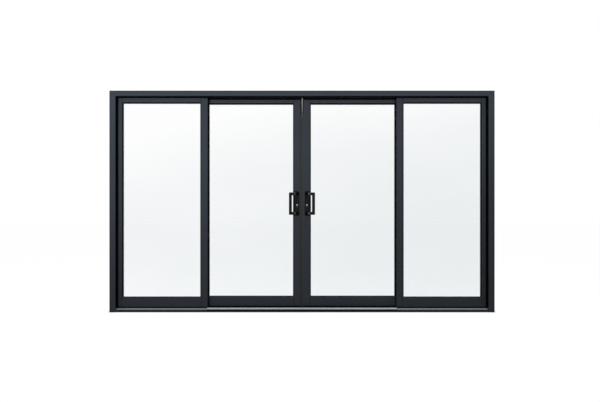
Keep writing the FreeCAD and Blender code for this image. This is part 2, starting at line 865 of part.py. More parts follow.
def draw_bar_section(sketch):
    """A bar taller than it is wide, with its four corners taken off."""
    half, top = "bar_width / 2", "bar_height / 2"
    centre = "(pull_height + grip_spread / 2)"
    corners = []
    for x_sense, z_sense in ((1, 1), (-1, 1), (-1, -1), (1, -1)):
        side_point = (f"{x_sense} * {half}", f"{centre} + {z_sense} * ({top} - bar_chamfer)")
        end_point = (f"{x_sense} * ({half} - bar_chamfer)", f"{centre} + {z_sense} * {top}")
        pair = [side_point, end_point]
        corners += pair if x_sense == z_sense else pair[::-1]
    draw_outline(sketch, corners)


def make_lock_plug(name, side):
    """The key plug, its spindle through the stile and the thumb-turn inside, in one."""
    body = new_body(name)
    length = "(panel_thickness + 2 * plate_thickness + 2 * plug_proud)"
    barrel = new_sketch(body, f"{name}_barrel", "XZ_Plane")
    draw_circle(barrel, "0", "0", "plug_radius")
    add_pad(body, barrel, length, backwards=True)
    wing = new_sketch(body, f"{name}_wing", "XZ_Plane", ("0", "0", f"-{length}"))
    draw_box(wing, "-turn_width / 2", "turn_width / 2", "-turn_length / 2", "turn_length / 2")
    add_pad(body, wing, "turn_depth", backwards=True)
    start = f"{LEAF_FRONT} - plate_thickness - plug_proud"
    place(body, f"{side} * lock_place", start, LOCK_HEIGHT)
    node(name, body)


def make_meeting_bead():
    """The upright bead on the left leaf that fills the middle seam."""
    half = "bead_width / 2"
    back = f"({LEAF_FRONT} + bead_recess)"
    outline = [
        (f"-{half}", LEAF_FRONT),
        (half, LEAF_FRONT),
        (half, f"{back} + bead_web"),
        (f"-{LEAF_NEAR}", f"{back} + bead_web"),
        (f"-{LEAF_NEAR}", back),
        (f"-{half}", back),
    ]
    height = f"({PANEL_TOP} - {PANEL_BASE})"
    node("meeting_bead", extrude("bead", "XY_Plane", [outline], height, z=PANEL_BASE))


def make_meeting_lip():
    """The angle on the right leaf that reaches behind the bead and closes the seam."""
    front = f"({LEAF_BACK} - lip_back)"
    outline = [
        (LEAF_NEAR, front),
        (LEAF_NEAR, f"{front} + lip_leg"),
        (f"{LEAF_NEAR} - bead_web", f"{front} + lip_leg"),
        (f"{LEAF_NEAR} - bead_web", f"{front} + bead_web"),
        (f"{LEAF_NEAR} - lip_reach", f"{front} + bead_web"),
        (f"{LEAF_NEAR} - lip_reach", front),
    ]
    height = f"({PANEL_TOP} - {PANEL_BASE})"
    node("meeting_lip", extrude("lip", "XY_Plane", [outline], height, z=PANEL_BASE))


make_head()
make_sill()
for side_name, side_sign in SIDES.items():
    make_jamb(side_sign, f"{side_name}_jamb")
make_sill_ramps()
make_threshold_cover()
make_head_filler()
make_panel_packers()
make_leaf_buffers()
for side_name, side_sign in SIDES.items():
    make_fixed_panel(side_name, side_sign)
    make_leaf(side_name, side_sign)
make_meeting_bead()
make_meeting_lip()
doc.recompute()

for thing in doc.Objects:
    if "Invalid" in thing.State or "Error" in thing.State:
        raise RuntimeError(f"{thing.Label} was not built: {thing.State}")
for part in nodes:
    if part.Shape.isNull() or not part.Shape.isValid():
        raise RuntimeError(f"{part.Label} has no valid shape")

os.makedirs("parts", exist_ok=True)
for part in nodes:
    part.Shape.exportStep(f"parts/{part.Label}.step")
print(f"{len(nodes)} sub-parts written")
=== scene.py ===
import math

import bmesh
import bpy
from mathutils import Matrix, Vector


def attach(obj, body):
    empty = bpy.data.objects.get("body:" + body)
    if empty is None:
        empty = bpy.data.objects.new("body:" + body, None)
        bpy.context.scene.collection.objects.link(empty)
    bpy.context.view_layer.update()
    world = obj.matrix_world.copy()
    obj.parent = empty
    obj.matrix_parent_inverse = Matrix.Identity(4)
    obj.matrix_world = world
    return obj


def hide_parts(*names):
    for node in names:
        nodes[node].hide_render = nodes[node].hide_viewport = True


# Four-panel glass sliding patio door: the finish of every part, the small fittings and the studio
# Metres, X to the right, Y into the room, Z up; pieces are laid out in millimetres

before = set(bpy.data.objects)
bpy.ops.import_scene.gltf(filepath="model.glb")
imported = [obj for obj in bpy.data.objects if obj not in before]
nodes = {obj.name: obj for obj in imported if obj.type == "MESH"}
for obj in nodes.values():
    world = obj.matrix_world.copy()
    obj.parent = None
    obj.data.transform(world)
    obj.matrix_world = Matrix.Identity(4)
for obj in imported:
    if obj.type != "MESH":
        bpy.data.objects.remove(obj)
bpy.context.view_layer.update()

MM = 0.001
SIDES = {"left": -1, "right": 1}

# Where the photograph was taken from
CAMERA_PLACE = (-0.019, -5.825, 1.054)
CAMERA_LENS = 36.44
CAMERA_SENSOR = 36.0

# Places on the door: distances from its middle, then depths, then heights
FIXED_FAR = 1781
JAMB_INSIDE = 1764
LEAF_FAR = 964
INTERLOCK_NEAR = 902
LOCK_NEAR = 16
STILE_WIDTH = 62
FIXED_BACK = 15
LEAF_FRONT, LEAF_MIDDLE, LEAF_BACK = 29, 47, 65
REAR_SLOT = (24, 70)
GLASS_FACES = {"leaf": (37, 57), "fixed": (-13, 7)}
PANE_EDGES = {
    "leaf": (LOCK_NEAR + STILE_WIDTH, INTERLOCK_NEAR),
    "fixed": (LEAF_FAR, FIXED_FAR - STILE_WIDTH),
}
PANEL_BASE, PANEL_TOP = 42, 2057
PANE_BASE, PANE_TOP = PANEL_BASE + 90, PANEL_TOP - 60
SOFFIT = 2045
HEAD_FACE, MITRE_RUN = 55, 51

# The pulls and the lock
PLATE = (30, 74)
PLATE_HALF_HEIGHT = 116
PLATE_THICKNESS = 8
PULL_HEIGHT = 1029
HALF_SPREAD = 94.5
ARM_ROOT = 58
ARM_REACH = 70
ARM_ANGLE = 40
BAR_WIDTH, BAR_HEIGHT = 20, 26
LOCK_PLACE, LOCK_HEIGHT = 47, 1016
HOOK_LEVELS = (LOCK_HEIGHT - 55, LOCK_HEIGHT + 40)
PLUG_RADIUS = 8
BORE_RADIUS = PLUG_RADIUS + 0.4


# Small tools for modelling


def put_down():
    """Back to object mode with nothing selected."""
    if bpy.context.object and bpy.context.object.mode != "OBJECT":
        bpy.ops.object.mode_set(mode="OBJECT")
    bpy.ops.object.select_all(action="DESELECT")


def take(*pieces):
    """Only these pieces selected, the first one active."""
    put_down()
    for piece in pieces:
        piece.select_set(True)
    bpy.context.view_layer.objects.active = pieces[0]


def discard(*pieces):
    take(*pieces)
    bpy.ops.object.delete()


def settle(name):
    """Name the active piece and put its place into its mesh."""
    piece = bpy.context.object
    bpy.ops.object.transform_apply(location=True, rotation=True, scale=True)
    piece.name = name
    piece.data.name = name
    return piece


def block(name, low, high):
    """A block between two corners."""
    put_down()
    middle = [(a + b) / 2 * MM for a, b in zip(low, high)]
    span = [abs(b - a) * MM for a, b in zip(low, high)]
    bpy.ops.mesh.primitive_cube_add(size=1, location=middle, scale=span)
    return settle(name)


def rod(name, middle, radius, length, sides):
    """A round bar about its middle, lying along Y."""
    put_down()
    bpy.ops.mesh.primitive_cylinder_add(
        vertices=sides,
        radius=radius * MM,
        depth=length * MM,
        location=[c * MM for c in middle],
        rotation=(math.pi / 2, 0, 0),
    )
    return settle(name)


def pick_faces(piece, test):
    """In edit mode, select the faces whose middle (in millimetres) and normal pass the test."""
    take(piece)
    bpy.ops.object.mode_set(mode="EDIT")
    bpy.ops.mesh.select_mode(type="FACE")
    bpy.ops.mesh.select_all(action="DESELECT")
    shape = bmesh.from_edit_mesh(piece.data)
    for face in shape.faces:
        face.select_set(bool(test(face.calc_center_median() / MM, face.normal)))
    bmesh.update_edit_mesh(piece.data)


def pick_edges(piece, test):
    """In edit mode, select the edges whose middle (in millimetres) and direction pass the test."""
    take(piece)
    bpy.ops.object.mode_set(mode="EDIT")
    bpy.ops.mesh.select_mode(type="EDGE")
    bpy.ops.mesh.select_all(action="DESELECT")
    shape = bmesh.from_edit_mesh(piece.data)
    for edge in shape.edges:
        start, end = (point.co for point in edge.verts)
        edge.select_set(bool(test((start + end) / 2 / MM, (end - start).normalized())))
    bmesh.update_edit_mesh(piece.data)


def round_edges(piece, width, segments, test):
    pick_edges(piece, test)
    bpy.ops.mesh.bevel(offset=width * MM, segments=segments, affect="EDGES", clamp_overlap=True)
    put_down()


def round_along(piece, width, segments, axis):
    """Round the edges that lie along an axis."""
    round_edges(piece, width, segments, lambda middle, along: abs(getattr(along, axis)) > 0.9)


def push_out(x=0.0, y=0.0, z=0.0):
    """Extrude what is selected by a step."""
    bpy.ops.mesh.extrude_region_move(TRANSFORM_OT_translate={"value": (x * MM, y * MM, z * MM)})


def soften(piece, width, segments=2, steeper_than=40):
    """Round every sharp edge."""
    take(piece)
    modifier = piece.modifiers.new("Soft edges", "BEVEL")
    modifier.width = width * MM
    modifier.segments = segments
    modifier.limit_method = "ANGLE"
    modifier.angle_limit = math.radians(steeper_than)
    bpy.ops.object.modifier_apply(modifier=modifier.name)


def cut_out(piece, cutter):
    """Take the cutter's shape out of the piece."""
    take(piece)
    modifier = piece.modifiers.new("Cut", "BOOLEAN")
    modifier.operation = "DIFFERENCE"
    modifier.solver = "EXACT"
    modifier.object = cutter
    bpy.ops.object.modifier_apply(modifier=modifier.name)
    discard(cutter)


def bore(piece, y):
    """Cut the round hole for the lock plug through a piece that lies at this depth."""
    cut_out(piece, rod("bore", (LOCK_PLACE, y, LOCK_HEIGHT), BORE_RADIUS, 40, 48))


def lock_block(name, half_width, start, end, low, high):
    """A block in line with the lock plug, its heights counted from the plug's middle."""
    return block(
        name,
        (LOCK_PLACE - half_width, start, LOCK_HEIGHT + low),
        (LOCK_PLACE + half_width, end, LOCK_HEIGHT + high),
    )


def merge(name, pieces):
    take(*pieces)
    bpy.ops.object.join()
    piece = bpy.context.object
    piece.name = name
    piece.data.name = name
    return piece


def copy_of(piece, name, shift=(0, 0, 0)):
    """A copy with its own mesh, moved by a step."""
    take(piece)
    bpy.ops.object.duplicate(linked=False)
    bpy.context.object.location = [c * MM for c in shift]
    return settle(name)


def mirror(piece, axis, about=0.0):
    """Turn a piece into its mirror image across the plane where the axis has the value about."""
    take(piece)
    piece.scale["XYZ".index(axis)] = -1
    piece.location["XYZ".index(axis)] = 2 * about * MM
    bpy.ops.object.transform_apply(location=True, rotation=True, scale=True)
    bpy.ops.object.mode_set(mode="EDIT")
    bpy.ops.mesh.select_all(action="SELECT")
    bpy.ops.mesh.normals_make_consistent(inside=False)
    put_down()


def fit(piece, finish, body):
    """Give a finished piece its finish and fix it to the body that it moves with."""
    take(piece)
    bpy.ops.object.shade_smooth_by_angle(angle=math.radians(35))
    piece.data.materials.clear()
    piece.data.materials.append(finish)
    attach(piece, body)
    return piece


# Small tools for materials


def new_group(name, inputs, outputs):
    """An empty node group with its named sockets, and its input and output nodes."""
    group = bpy.data.node_groups.new(name, "ShaderNodeTree")
    for label, value in inputs:
        socket = group.interface.new_socket(label, in_out="INPUT", socket_type="NodeSocketFloat")
        socket.default_value = value
    for label, kind in outputs:
        group.interface.new_socket(label, in_out="OUTPUT", socket_type=f"NodeSocket{kind}")
    return group, group.nodes.new("NodeGroupInput"), group.nodes.new("NodeGroupOutput")


def supply(tree, value, socket):
    """Give an input a number, a tuple of numbers or the output of another node."""
    if isinstance(value, (int, float, tuple)):
        socket.default_value = value
    else:
        tree.links.new(value, socket)


def feed(tree, node, **values):
    """Supply a node's inputs by their names, with _ for each space."""
    for name, value in values.items():
        supply(tree, value, node.inputs[name.replace("_", " ")])


def math_node(tree, operation, *values):
    """A Math node fed by sockets or numbers; gives back its output."""
    new = tree.nodes.new("ShaderNodeMath")
    new.operation = operation
    for value, socket in zip(values, new.inputs):
        supply(tree, value, socket)
    return new.outputs[0]


def vector_math(tree, operation, first, second):
    new = tree.nodes.new("ShaderNodeVectorMath")
    new.operation = operation
    supply(tree, first, new.inputs[0])
    supply(tree, second, new.inputs[1])
    return new.outputs


def object_place(tree):
    return tree.nodes.new("ShaderNodeTexCoord").outputs["Object"]


def split(tree, vector):
    """The X, Y and Z of a vector socket."""
    new = tree.nodes.new("ShaderNodeSeparateXYZ")
    feed(tree, new, Vector=vector)
    return new.outputs["X"], new.outputs["Y"], new.outputs["Z"]


def face_direction(tree):
    return split(tree, tree.nodes.new("ShaderNodeNewGeometry").outputs["Normal"])


def noise(tree, where, scale, detail=3.0, roughness=0.5):
    new = tree.nodes.new("ShaderNodeTexNoise")
    feed(tree, new, Vector=where, Scale=scale, Detail=detail, Roughness=roughness)
    return new.outputs["Fac"]


def stretched(tree, where, factors):
    """The place with each axis scaled, for a grain that runs one way."""
    return vector_math(tree, "MULTIPLY", where, factors)["Vector"]


def between(tree, value, low, high, to_low=0.0, to_high=1.0):
    """A value between low and high stretched onto another span."""
    new = tree.nodes.new("ShaderNodeMapRange")
    feed(tree, new, Value=value, From_Min=low, From_Max=high, To_Min=to_low, To_Max=to_high)
    return new.outputs["Result"]


def blend_colours(tree, share, first, second):
    """The first colour where share is 0 and the second where it is 1."""
    new = tree.nodes.new("ShaderNodeMix")
    new.data_type = "RGBA"
    sockets = {socket.identifier: socket for socket in (*new.inputs, *new.outputs)}
    supply(tree, share, sockets["Factor_Float"])
    for label, colour in (("A_Color", first), ("B_Color", second)):
        supply(tree, (*colour, 1) if isinstance(colour, tuple) else colour, sockets[label])
    return sockets["Result_Color"]


# Effects that several finishes share


def make_coating_grain():
    """The fine pebbled skin of powder coat, with slow cloudy change over a long bar."""
    group, inside, outside = new_group(
        "Coating grain",
        [("Grain Size", 900.0), ("Cloud Size", 2.2)],
        [("Height", "Float"), ("Speck", "Float"), ("Cloud", "Float")],
    )
    where = object_place(group)
    peel = noise(group, where, inside.outputs["Grain Size"], 2.0)
    cloud = noise(group, where, inside.outputs["Cloud Size"], 4.0)
    feed(group, outside, Height=peel, Speck=between(group, peel, 0.62, 0.8), Cloud=cloud)
    return group


def make_edge_wear_and_highlight():
    """A mask of the corners of a piece, where handling rubs the coat thin, made brighter still as a
    painted highlight.
    """
    group, inside, outside = new_group(
        "Edge wear and painted highlight", [("Strength", 1.0)], [("Mask", "Float"), ("Normal", "Vector")]
    )
    rounded = group.nodes.new("ShaderNodeBevel")
    rounded.samples = 4
    feed(group, rounded, Radius=0.0012)
    flat = group.nodes.new("ShaderNodeNewGeometry").outputs["Normal"]
    agree = vector_math(group, "DOT_PRODUCT", rounded.outputs["Normal"], flat)["Value"]
    corner = between(group, agree, 0.98, 0.75)
    patches = between(group, noise(group, object_place(group), 14.0, 5.0, 0.65), 0.42, 0.62)
    edge_wear_and_shine = math_node(group, "MULTIPLY", corner, patches)
    mask = math_node(group, "MULTIPLY", edge_wear_and_shine, inside.outputs["Strength"])
    feed(group, outside, Mask=mask, Normal=rounded.outputs["Normal"])
    return group


def make_dust_and_sky_sheen():
    """A thin veil of pale dust with a painted sky sheen on faces that look up, patchy along the
    bar.
    """
    group, inside, outside = new_group("Dust and painted sky sheen", [("Amount", 0.3)], [("Mask", "Float")])
    up = between(group, face_direction(group)[2], 0.3, 0.9)
    patches = between(group, noise(group, object_place(group), 7.0, 6.0, 0.6), 0.25, 0.7, 0.45, 1.0)
    lying = math_node(group, "MULTIPLY", up, patches)
    feed(group, outside, Mask=math_node(group, "MULTIPLY", lying, inside.outputs["Amount"]))
    return group


def make_drawn_lines():
    """Fine lines along X left by the die on an extruded or brushed strip."""
    group, inside, outside = new_group(
        "Drawn lines",
        [("Length", 3.0), ("Closeness", 900.0)],
        [("Height", "Float"), ("Streak", "Float")],
    )
    closeness = inside.outputs["Closeness"]
    factors = group.nodes.new("ShaderNodeCombineXYZ")
    feed(group, factors, X=inside.outputs["Length"], Y=closeness, Z=closeness)
    drawn = stretched(group, object_place(group), factors.outputs["Vector"])
    lines = noise(group, drawn, 1.0, 4.0, 0.6)
    feed(group, outside, Height=lines, Streak=between(group, lines, 0.35, 0.65))
    return group


def make_painted_crease_shade():
    """A mask of painted shade in the narrow creases between parts, found by ambient occlusion,
    where little light gets in.
    """
    group, inside, outside = new_group(
        "Painted crease shade", [("Reach", 0.016), ("Wide Reach", 0.032)], [("Mask", "Float")]
    )
    shares = []
    for reach, low, high, most in (("Reach", 0.35, 0.85, 1.0), ("Wide Reach", 0.4, 0.92, 0.55)):
        crease = group.nodes.new("ShaderNodeAmbientOcclusion")
        crease.samples = 6
        feed(group, crease, Distance=inside.outputs[reach])
        shares.append(between(group, crease.outputs["AO"], high, low, 0.0, most))
    feed(group, outside, Mask=math_node(group, "MAXIMUM", *shares))
    return group


def make_painted_reveal_shade():
    """A mask of the inner faces of the head and jambs in front of the leaves, painted black as
    shade.
    """
    group, inside, outside = new_group("Painted reveal shade", [("Depth", 0.024)], [("Mask", "Float")])
    x, y, _ = split(group, object_place(group))
    normal_x, _, normal_z = face_direction(group)
    inwards = math_node(group, "MULTIPLY", normal_x, math_node(group, "SIGN", x))
    facing = math_node(group, "LESS_THAN", math_node(group, "MINIMUM", inwards, normal_z), -0.5)
    behind = math_node(group, "GREATER_THAN", y, -0.0692)
    before = math_node(group, "LESS_THAN", y, inside.outputs["Depth"])
    where = math_node(group, "MULTIPLY", behind, before)
    feed(group, outside, Mask=math_node(group, "MULTIPLY", facing, where))
    return group


def make_mitre_line():
    """A mask of the hairline joint where the head meets a jamb at the mitre."""
    group, inside, outside = new_group("Mitre joint", [("Half Width", 0.0006)], [("Mask", "Float")])
    x, _, z = split(group, object_place(group))
    across = math_node(group, "SUBTRACT", math_node(group, "ABSOLUTE", x), JAMB_INSIDE * MM)
    rise = math_node(group, "MULTIPLY", across, HEAD_FACE / MITRE_RUN)
    off = math_node(group, "SUBTRACT", rise, math_node(group, "SUBTRACT", z, SOFFIT * MM))
    line = math_node(group, "COMPARE", off, 0.0, inside.outputs["Half Width"])
    beside = math_node(group, "GREATER_THAN", across, 0.0)
    feed(group, outside, Mask=math_node(group, "MULTIPLY", line, beside))
    return group


def make_butt_lines():
    """A mask of the hairline joints where the rails of a panel butt against its stiles."""
    group, inside, outside = new_group("Butt joints", [("Half Width", 0.0009)], [("Mask", "Float")])
    x, _, z = split(group, object_place(group))
    across = math_node(group, "ABSOLUTE", x)
    low = math_node(group, "LESS_THAN", z, PANE_BASE * MM)
    high = math_node(group, "GREATER_THAN", z, PANE_TOP * MM)
    ends = math_node(group, "MAXIMUM", low, high)
    lines = 0.0
    for place in (*PANE_EDGES["leaf"], *PANE_EDGES["fixed"]):
        line = math_node(group, "COMPARE", across, place * MM, inside.outputs["Half Width"])
        lines = math_node(group, "MAXIMUM", line, lines)
    feed(group, outside, Mask=math_node(group, "MULTIPLY", lines, ends))
    return group


def make_lit_arm_ends():
    """A mask of the ends of the pulls' arms, painted paler as a highlight where light falls on
    them.
    """
    group, inside, outside = new_group("Painted light on arm ends", [("Strength", 1.0)], [("Mask", "Float")])
    x, y, z = split(group, object_place(group))
    arm_place, arm_reach, arm_half_height = ARM_ROOT + 10, 13, 14
    plate_face = LEAF_MIDDLE - LEAF_FRONT + PLATE_THICKNESS + 0.5
    aside = math_node(group, "ABSOLUTE", x)
    out = math_node(group, "COMPARE", aside, arm_place * MM, arm_reach * MM)
    rise = math_node(group, "ABSOLUTE", math_node(group, "SUBTRACT", z, PULL_HEIGHT * MM))
    level = math_node(group, "COMPARE", rise, HALF_SPREAD * MM, arm_half_height * MM)
    depth = math_node(group, "ABSOLUTE", math_node(group, "SUBTRACT", y, LEAF_MIDDLE * MM))
    beyond = math_node(group, "GREATER_THAN", depth, plate_face * MM)
    place = math_node(group, "MULTIPLY", math_node(group, "MULTIPLY", out, level), beyond)
    feed(group, outside, Mask=math_node(group, "MULTIPLY", place, inside.outputs["Strength"]))
    return group


coating_grain = make_coating_grain()
edge_wear_and_highlight = make_edge_wear_and_highlight()
dust_and_sky_sheen = make_dust_and_sky_sheen()
drawn_lines = make_drawn_lines()
painted_crease_shade = make_painted_crease_shade()
painted_reveal_shade = make_painted_reveal_shade()
mitre_line = make_mitre_line()
butt_lines = make_butt_lines()
lit_arm_ends = make_lit_arm_ends()


# Finishes

NEARLY_BLACK = (0.004, 0.004, 0.005)


def new_finish(name, roughness, metallic=0.0, specular=0.5):
    """A material with one Principled shader; gives back the material, its tree and the shader."""
    finish = bpy.data.materials.new(name)
    finish.use_nodes = True
    tree = finish.node_tree
    shader = tree.nodes["Principled BSDF"]
    feed(tree, shader, Roughness=roughness, Metallic=metallic, Specular_IOR_Level=specular)
    return finish, tree, shader


def use(tree, group, **values):
    """An effect placed in a material with its own values."""
    new = tree.nodes.new("ShaderNodeGroup")
    new.node_tree = group
    feed(tree, new, **values)
    return new


def shaded(tree, base, shade, effect, **values):
    """The base colour with a shade laid over it where an effect's mask is."""
    return blend_colours(tree, use(tree, effect, **values).outputs["Mask"], base, shade)


def bump(tree, height, distance, strength=1.0, normal=None):
    new = tree.nodes.new("ShaderNodeBump")
    feed(tree, new, Distance=distance, Strength=strength, Height=height)
    if normal is not None:
        feed(tree, new, Normal=normal)
    return new.outputs["Normal"]


def powder_coat(
    name, colour, cloudy, edge_wear_and_shine, rough, masks=(), dust_and_sheen=0.3, reach=0.016, low_colour=None
):
    """Satin powder coat: pebbled skin, cloudy depth, edges rubbed thin with a painted highlight,
    painted shade in creases and a little dust with a painted sky sheen.

    Each mask comes with the shade it lays over the coat; low_colour is the coat near the ground.
    """
    finish, tree, shader = new_finish(name, rough, specular=0.12)
    grain = use(tree, coating_grain, Grain_Size=700.0)
    edges = use(tree, edge_wear_and_highlight, Strength=0.5)
    base = blend_colours(tree, grain.outputs["Cloud"], colour, cloudy)
    if low_colour:
        low = between(tree, split(tree, object_place(tree))[2], 0.1, 1.0, 0.8, 0.0)
        base = blend_colours(tree, low, base, low_colour)
    # Edge wear plus a painted highlight along the corners
    base = blend_colours(tree, edges.outputs["Mask"], base, edge_wear_and_shine)
    # Pale dust with a painted sky sheen on faces that look up
    base = shaded(tree, base, (0.13, 0.15, 0.17), dust_and_sky_sheen, Amount=dust_and_sheen)
    for mask, shade in masks:
        base = shaded(tree, base, shade, mask)
    # Painted shade: creases darkened towards black by ambient occlusion
    base = shaded(tree, base, NEARLY_BLACK, painted_crease_shade, Reach=reach, Wide_Reach=2 * reach)
    smoother = between(tree, grain.outputs["Speck"], 0.0, 1.0, rough, rough - 0.12)
    skin = bump(tree, grain.outputs["Height"], 0.00006, 0.5, edges.outputs["Normal"])
    feed(tree, shader, Base_Color=base, Roughness=smoother, Normal=skin)
    return finish


def sill_coat(name):
    """The sill's coat, rubbed to bare metal on top of the track, with a painted highlight on its
    edges, dust with a painted sheen on faces that look up and painted shade in its creases.
    """
    finish, tree, shader = new_finish(name, 0.45, specular=0.12)
    grain = use(tree, coating_grain, Grain_Size=700.0)
    edges = use(tree, edge_wear_and_highlight, Strength=0.6)
    _, y, z = split(tree, object_place(tree))
    track_half_width, track_shoulder = 0.0022, 0.0335
    on_track = math_node(tree, "COMPARE", y, LEAF_MIDDLE * MM, track_half_width)
    high = math_node(tree, "GREATER_THAN", z, track_shoulder)
    track = math_node(tree, "MULTIPLY", on_track, high)
    base = blend_colours(tree, grain.outputs["Cloud"], (0.028, 0.032, 0.040), (0.035, 0.040, 0.049))
    # Edge wear plus a painted highlight
    base = blend_colours(tree, edges.outputs["Mask"], base, (0.09, 0.10, 0.11))
    # Pale dust with a painted sheen on faces that look up
    base = shaded(tree, base, (0.12, 0.12, 0.115), dust_and_sky_sheen, Amount=0.45)
    # Painted shade in the creases
    base = shaded(tree, base, NEARLY_BLACK, painted_crease_shade)
    base = blend_colours(tree, track, base, (0.45, 0.45, 0.44))
    skin = bump(tree, grain.outputs["Height"], 0.00006, 0.5, edges.outputs["Normal"])
    feed(tree, shader, Base_Color=base, Metallic=track, Normal=skin)
    return finish


def make_glass():
    """Clear float glass, faintly tinted, with a painted reflection of a bright sky: soft slanting
    bands, and a colour that is lighter higher up and towards the left.
    """
    finish, tree, shader = new_finish("Float glass", 0.0)
    where = object_place(tree)
    x, _, z = split(tree, where)
    # Painted sky reflection: slanting bands, and a colour lighter higher up and towards the left
    slant = tree.nodes.new("ShaderNodeMapping")
    turn = (0.0, math.radians(38), 0.0)
    feed(tree, slant, Vector=where, Rotation=turn, Scale=(0.35, 0.35, 1.1))
    sky = noise(tree, slant.outputs["Vector"], 1.3, 2.0, 0.45)
    bands = between(tree, sky, 0.3, 0.7, -0.13, 0.13)
    height = math_node(tree, "SUBTRACT", z, 0.3)
    rise = math_node(tree, "MULTIPLY_ADD", math_node(tree, "MULTIPLY", height, height), 0.28, 0.18)
    slope = math_node(tree, "MULTIPLY_ADD", x, -0.15, rise)
    clearer = between(tree, math_node(tree, "ADD", slope, bands), 0.0, 1.0)
    tint_and_sky_reflection = blend_colours(tree, clearer, (0.900, 0.918, 0.926), (0.990, 0.991, 0.992))
    feed(tree, shader, Base_Color=tint_and_sky_reflection, Transmission_Weight=1.0, IOR=1.5)
    clear = tree.nodes.new("ShaderNodeBsdfTransparent")
    feed(tree, clear, Color=(0.93, 0.95, 0.95, 1.0))
    path = tree.nodes.new("ShaderNodeLightPath")
    switch = tree.nodes.new("ShaderNodeMixShader")
    surfaces = (path.outputs["Is Shadow Ray"], shader.outputs["BSDF"], clear.outputs["BSDF"])
    for surface, socket in zip(surfaces, switch.inputs):
        supply(tree, surface, socket)
    feed(tree, tree.nodes["Material Output"], Surface=switch.outputs["Shader"])
    return finish


def rubber(name, colour, bloom, dust_and_sheen=0.0):
    """Black extruded rubber with a faint grey bloom, and dust with a painted sky sheen where it
    looks up.
    """
    finish, tree, shader = new_finish(name, 0.7, specular=0.02)
    where = object_place(tree)
    cloud = between(tree, noise(tree, where, 26.0, 5.0), 0.4, 0.7)
    base = blend_colours(tree, cloud, colour, bloom)
    # Dust with a painted sky sheen on faces that look up
    base = shaded(tree, base, (0.13, 0.16, 0.19), dust_and_sky_sheen, Amount=dust_and_sheen)
    skin = bump(tree, noise(tree, where, 900.0), 0.00008, 0.4)
    feed(tree, shader, Base_Color=base, Normal=skin)
    return finish


def brush_pile(name):
    """Black woven pile: upright fibres with darker gaps between the tufts."""
    finish, tree, shader = new_finish(name, 0.9, specular=0.0)
    fibres = noise(tree, stretched(tree, object_place(tree), (900.0, 900.0, 900.0)), 1.0, 3.0, 0.7)
    tufts = between(tree, fibres, 0.35, 0.7)
    base = blend_colours(tree, tufts, (0.003, 0.003, 0.003), (0.012, 0.012, 0.013))
    feed(tree, shader, Base_Color=base, Normal=bump(tree, fibres, 0.0006, 0.8))
    return finish


def drawn_metal(name, colour, streak, roughness, metallic, dust_and_sheen=0.0, specular=0.5):
    """Extruded or brushed metal with fine lines along its length."""
    finish, tree, shader = new_finish(name, roughness, metallic, specular)
    lines = use(tree, drawn_lines, Length=2.5, Closeness=700.0)
    edges = use(tree, edge_wear_and_highlight, Strength=0.35)
    base = blend_colours(tree, lines.outputs["Streak"], colour, streak)
    # Dust with a painted sheen on faces that look up
    base = shaded(tree, base, (0.30, 0.29, 0.27), dust_and_sky_sheen, Amount=dust_and_sheen)
    # Painted shade in the creases
    base = shaded(tree, base, (0.01, 0.01, 0.01), painted_crease_shade, Reach=0.008)
    duller = between(tree, lines.outputs["Streak"], 0.0, 1.0, roughness - 0.06, roughness + 0.08)
    skin = bump(tree, lines.outputs["Height"], 0.00005, 0.5, edges.outputs["Normal"])
    feed(tree, shader, Base_Color=base, Roughness=duller, Normal=skin)
    return finish


def meeting_bead_coat_and_light(name):
    """The seam's coat with painted light and shade: a narrow pale band at the top as a painted
    reflection, painted shadow on both sides, fading downwards.
    """
    finish, tree, shader = new_finish(name, 0.45, specular=0.12)
    grain = use(tree, coating_grain, Grain_Size=700.0)
    x, _, z = split(tree, object_place(tree))
    band_middle, band_half_width, dark_from, foot, top = 0.003, 0.0045, 0.0060, 1.85, 2.04
    rise = math_node(tree, "POWER", between(tree, z, foot + 0.01, top, 0.2, 1.0), 1.4)
    faded = math_node(tree, "MULTIPLY", rise, between(tree, z, foot, foot + 0.01))
    offset = math_node(tree, "ABSOLUTE", math_node(tree, "SUBTRACT", x, band_middle))
    aside = between(tree, offset, band_half_width, dark_from)
    beside = math_node(tree, "MULTIPLY", aside, between(tree, z, foot - 0.02, foot + 0.05))
    base = blend_colours(tree, grain.outputs["Cloud"], (0.050, 0.053, 0.058), (0.056, 0.059, 0.064))
    # Painted reflection: the pale band at the top, fading downwards
    base = blend_colours(tree, faded, base, (0.46, 0.46, 0.46))
    # Painted shadow on both sides of the band
    base = blend_colours(tree, beside, base, (0.006, 0.006, 0.006))
    skin = bump(tree, grain.outputs["Height"], 0.00006, 0.5)
    feed(tree, shader, Base_Color=base, Normal=skin)
    return finish


def turned_steel(name, colour, scratch, roughness):
    """Satin nickel with fine scratches that run every way."""
    finish, tree, shader = new_finish(name, roughness, 1.0)
    where = stretched(tree, object_place(tree), (2500.0, 2500.0, 300.0))
    scratches = noise(tree, where, 1.0, 5.0, 0.7)
    edges = use(tree, edge_wear_and_highlight, Strength=0.5)
    base = blend_colours(tree, between(tree, scratches, 0.4, 0.65), colour, scratch)
    # Painted shade in the creases
    base = shaded(tree, base, (0.01, 0.01, 0.01), painted_crease_shade, Reach=0.004)
    duller = between(tree, scratches, 0.3, 0.7, roughness - 0.05, roughness + 0.1)
    skin = bump(tree, scratches, 0.00003, 0.5, edges.outputs["Normal"])
    feed(tree, shader, Base_Color=base, Roughness=duller, Normal=skin)
    return finish


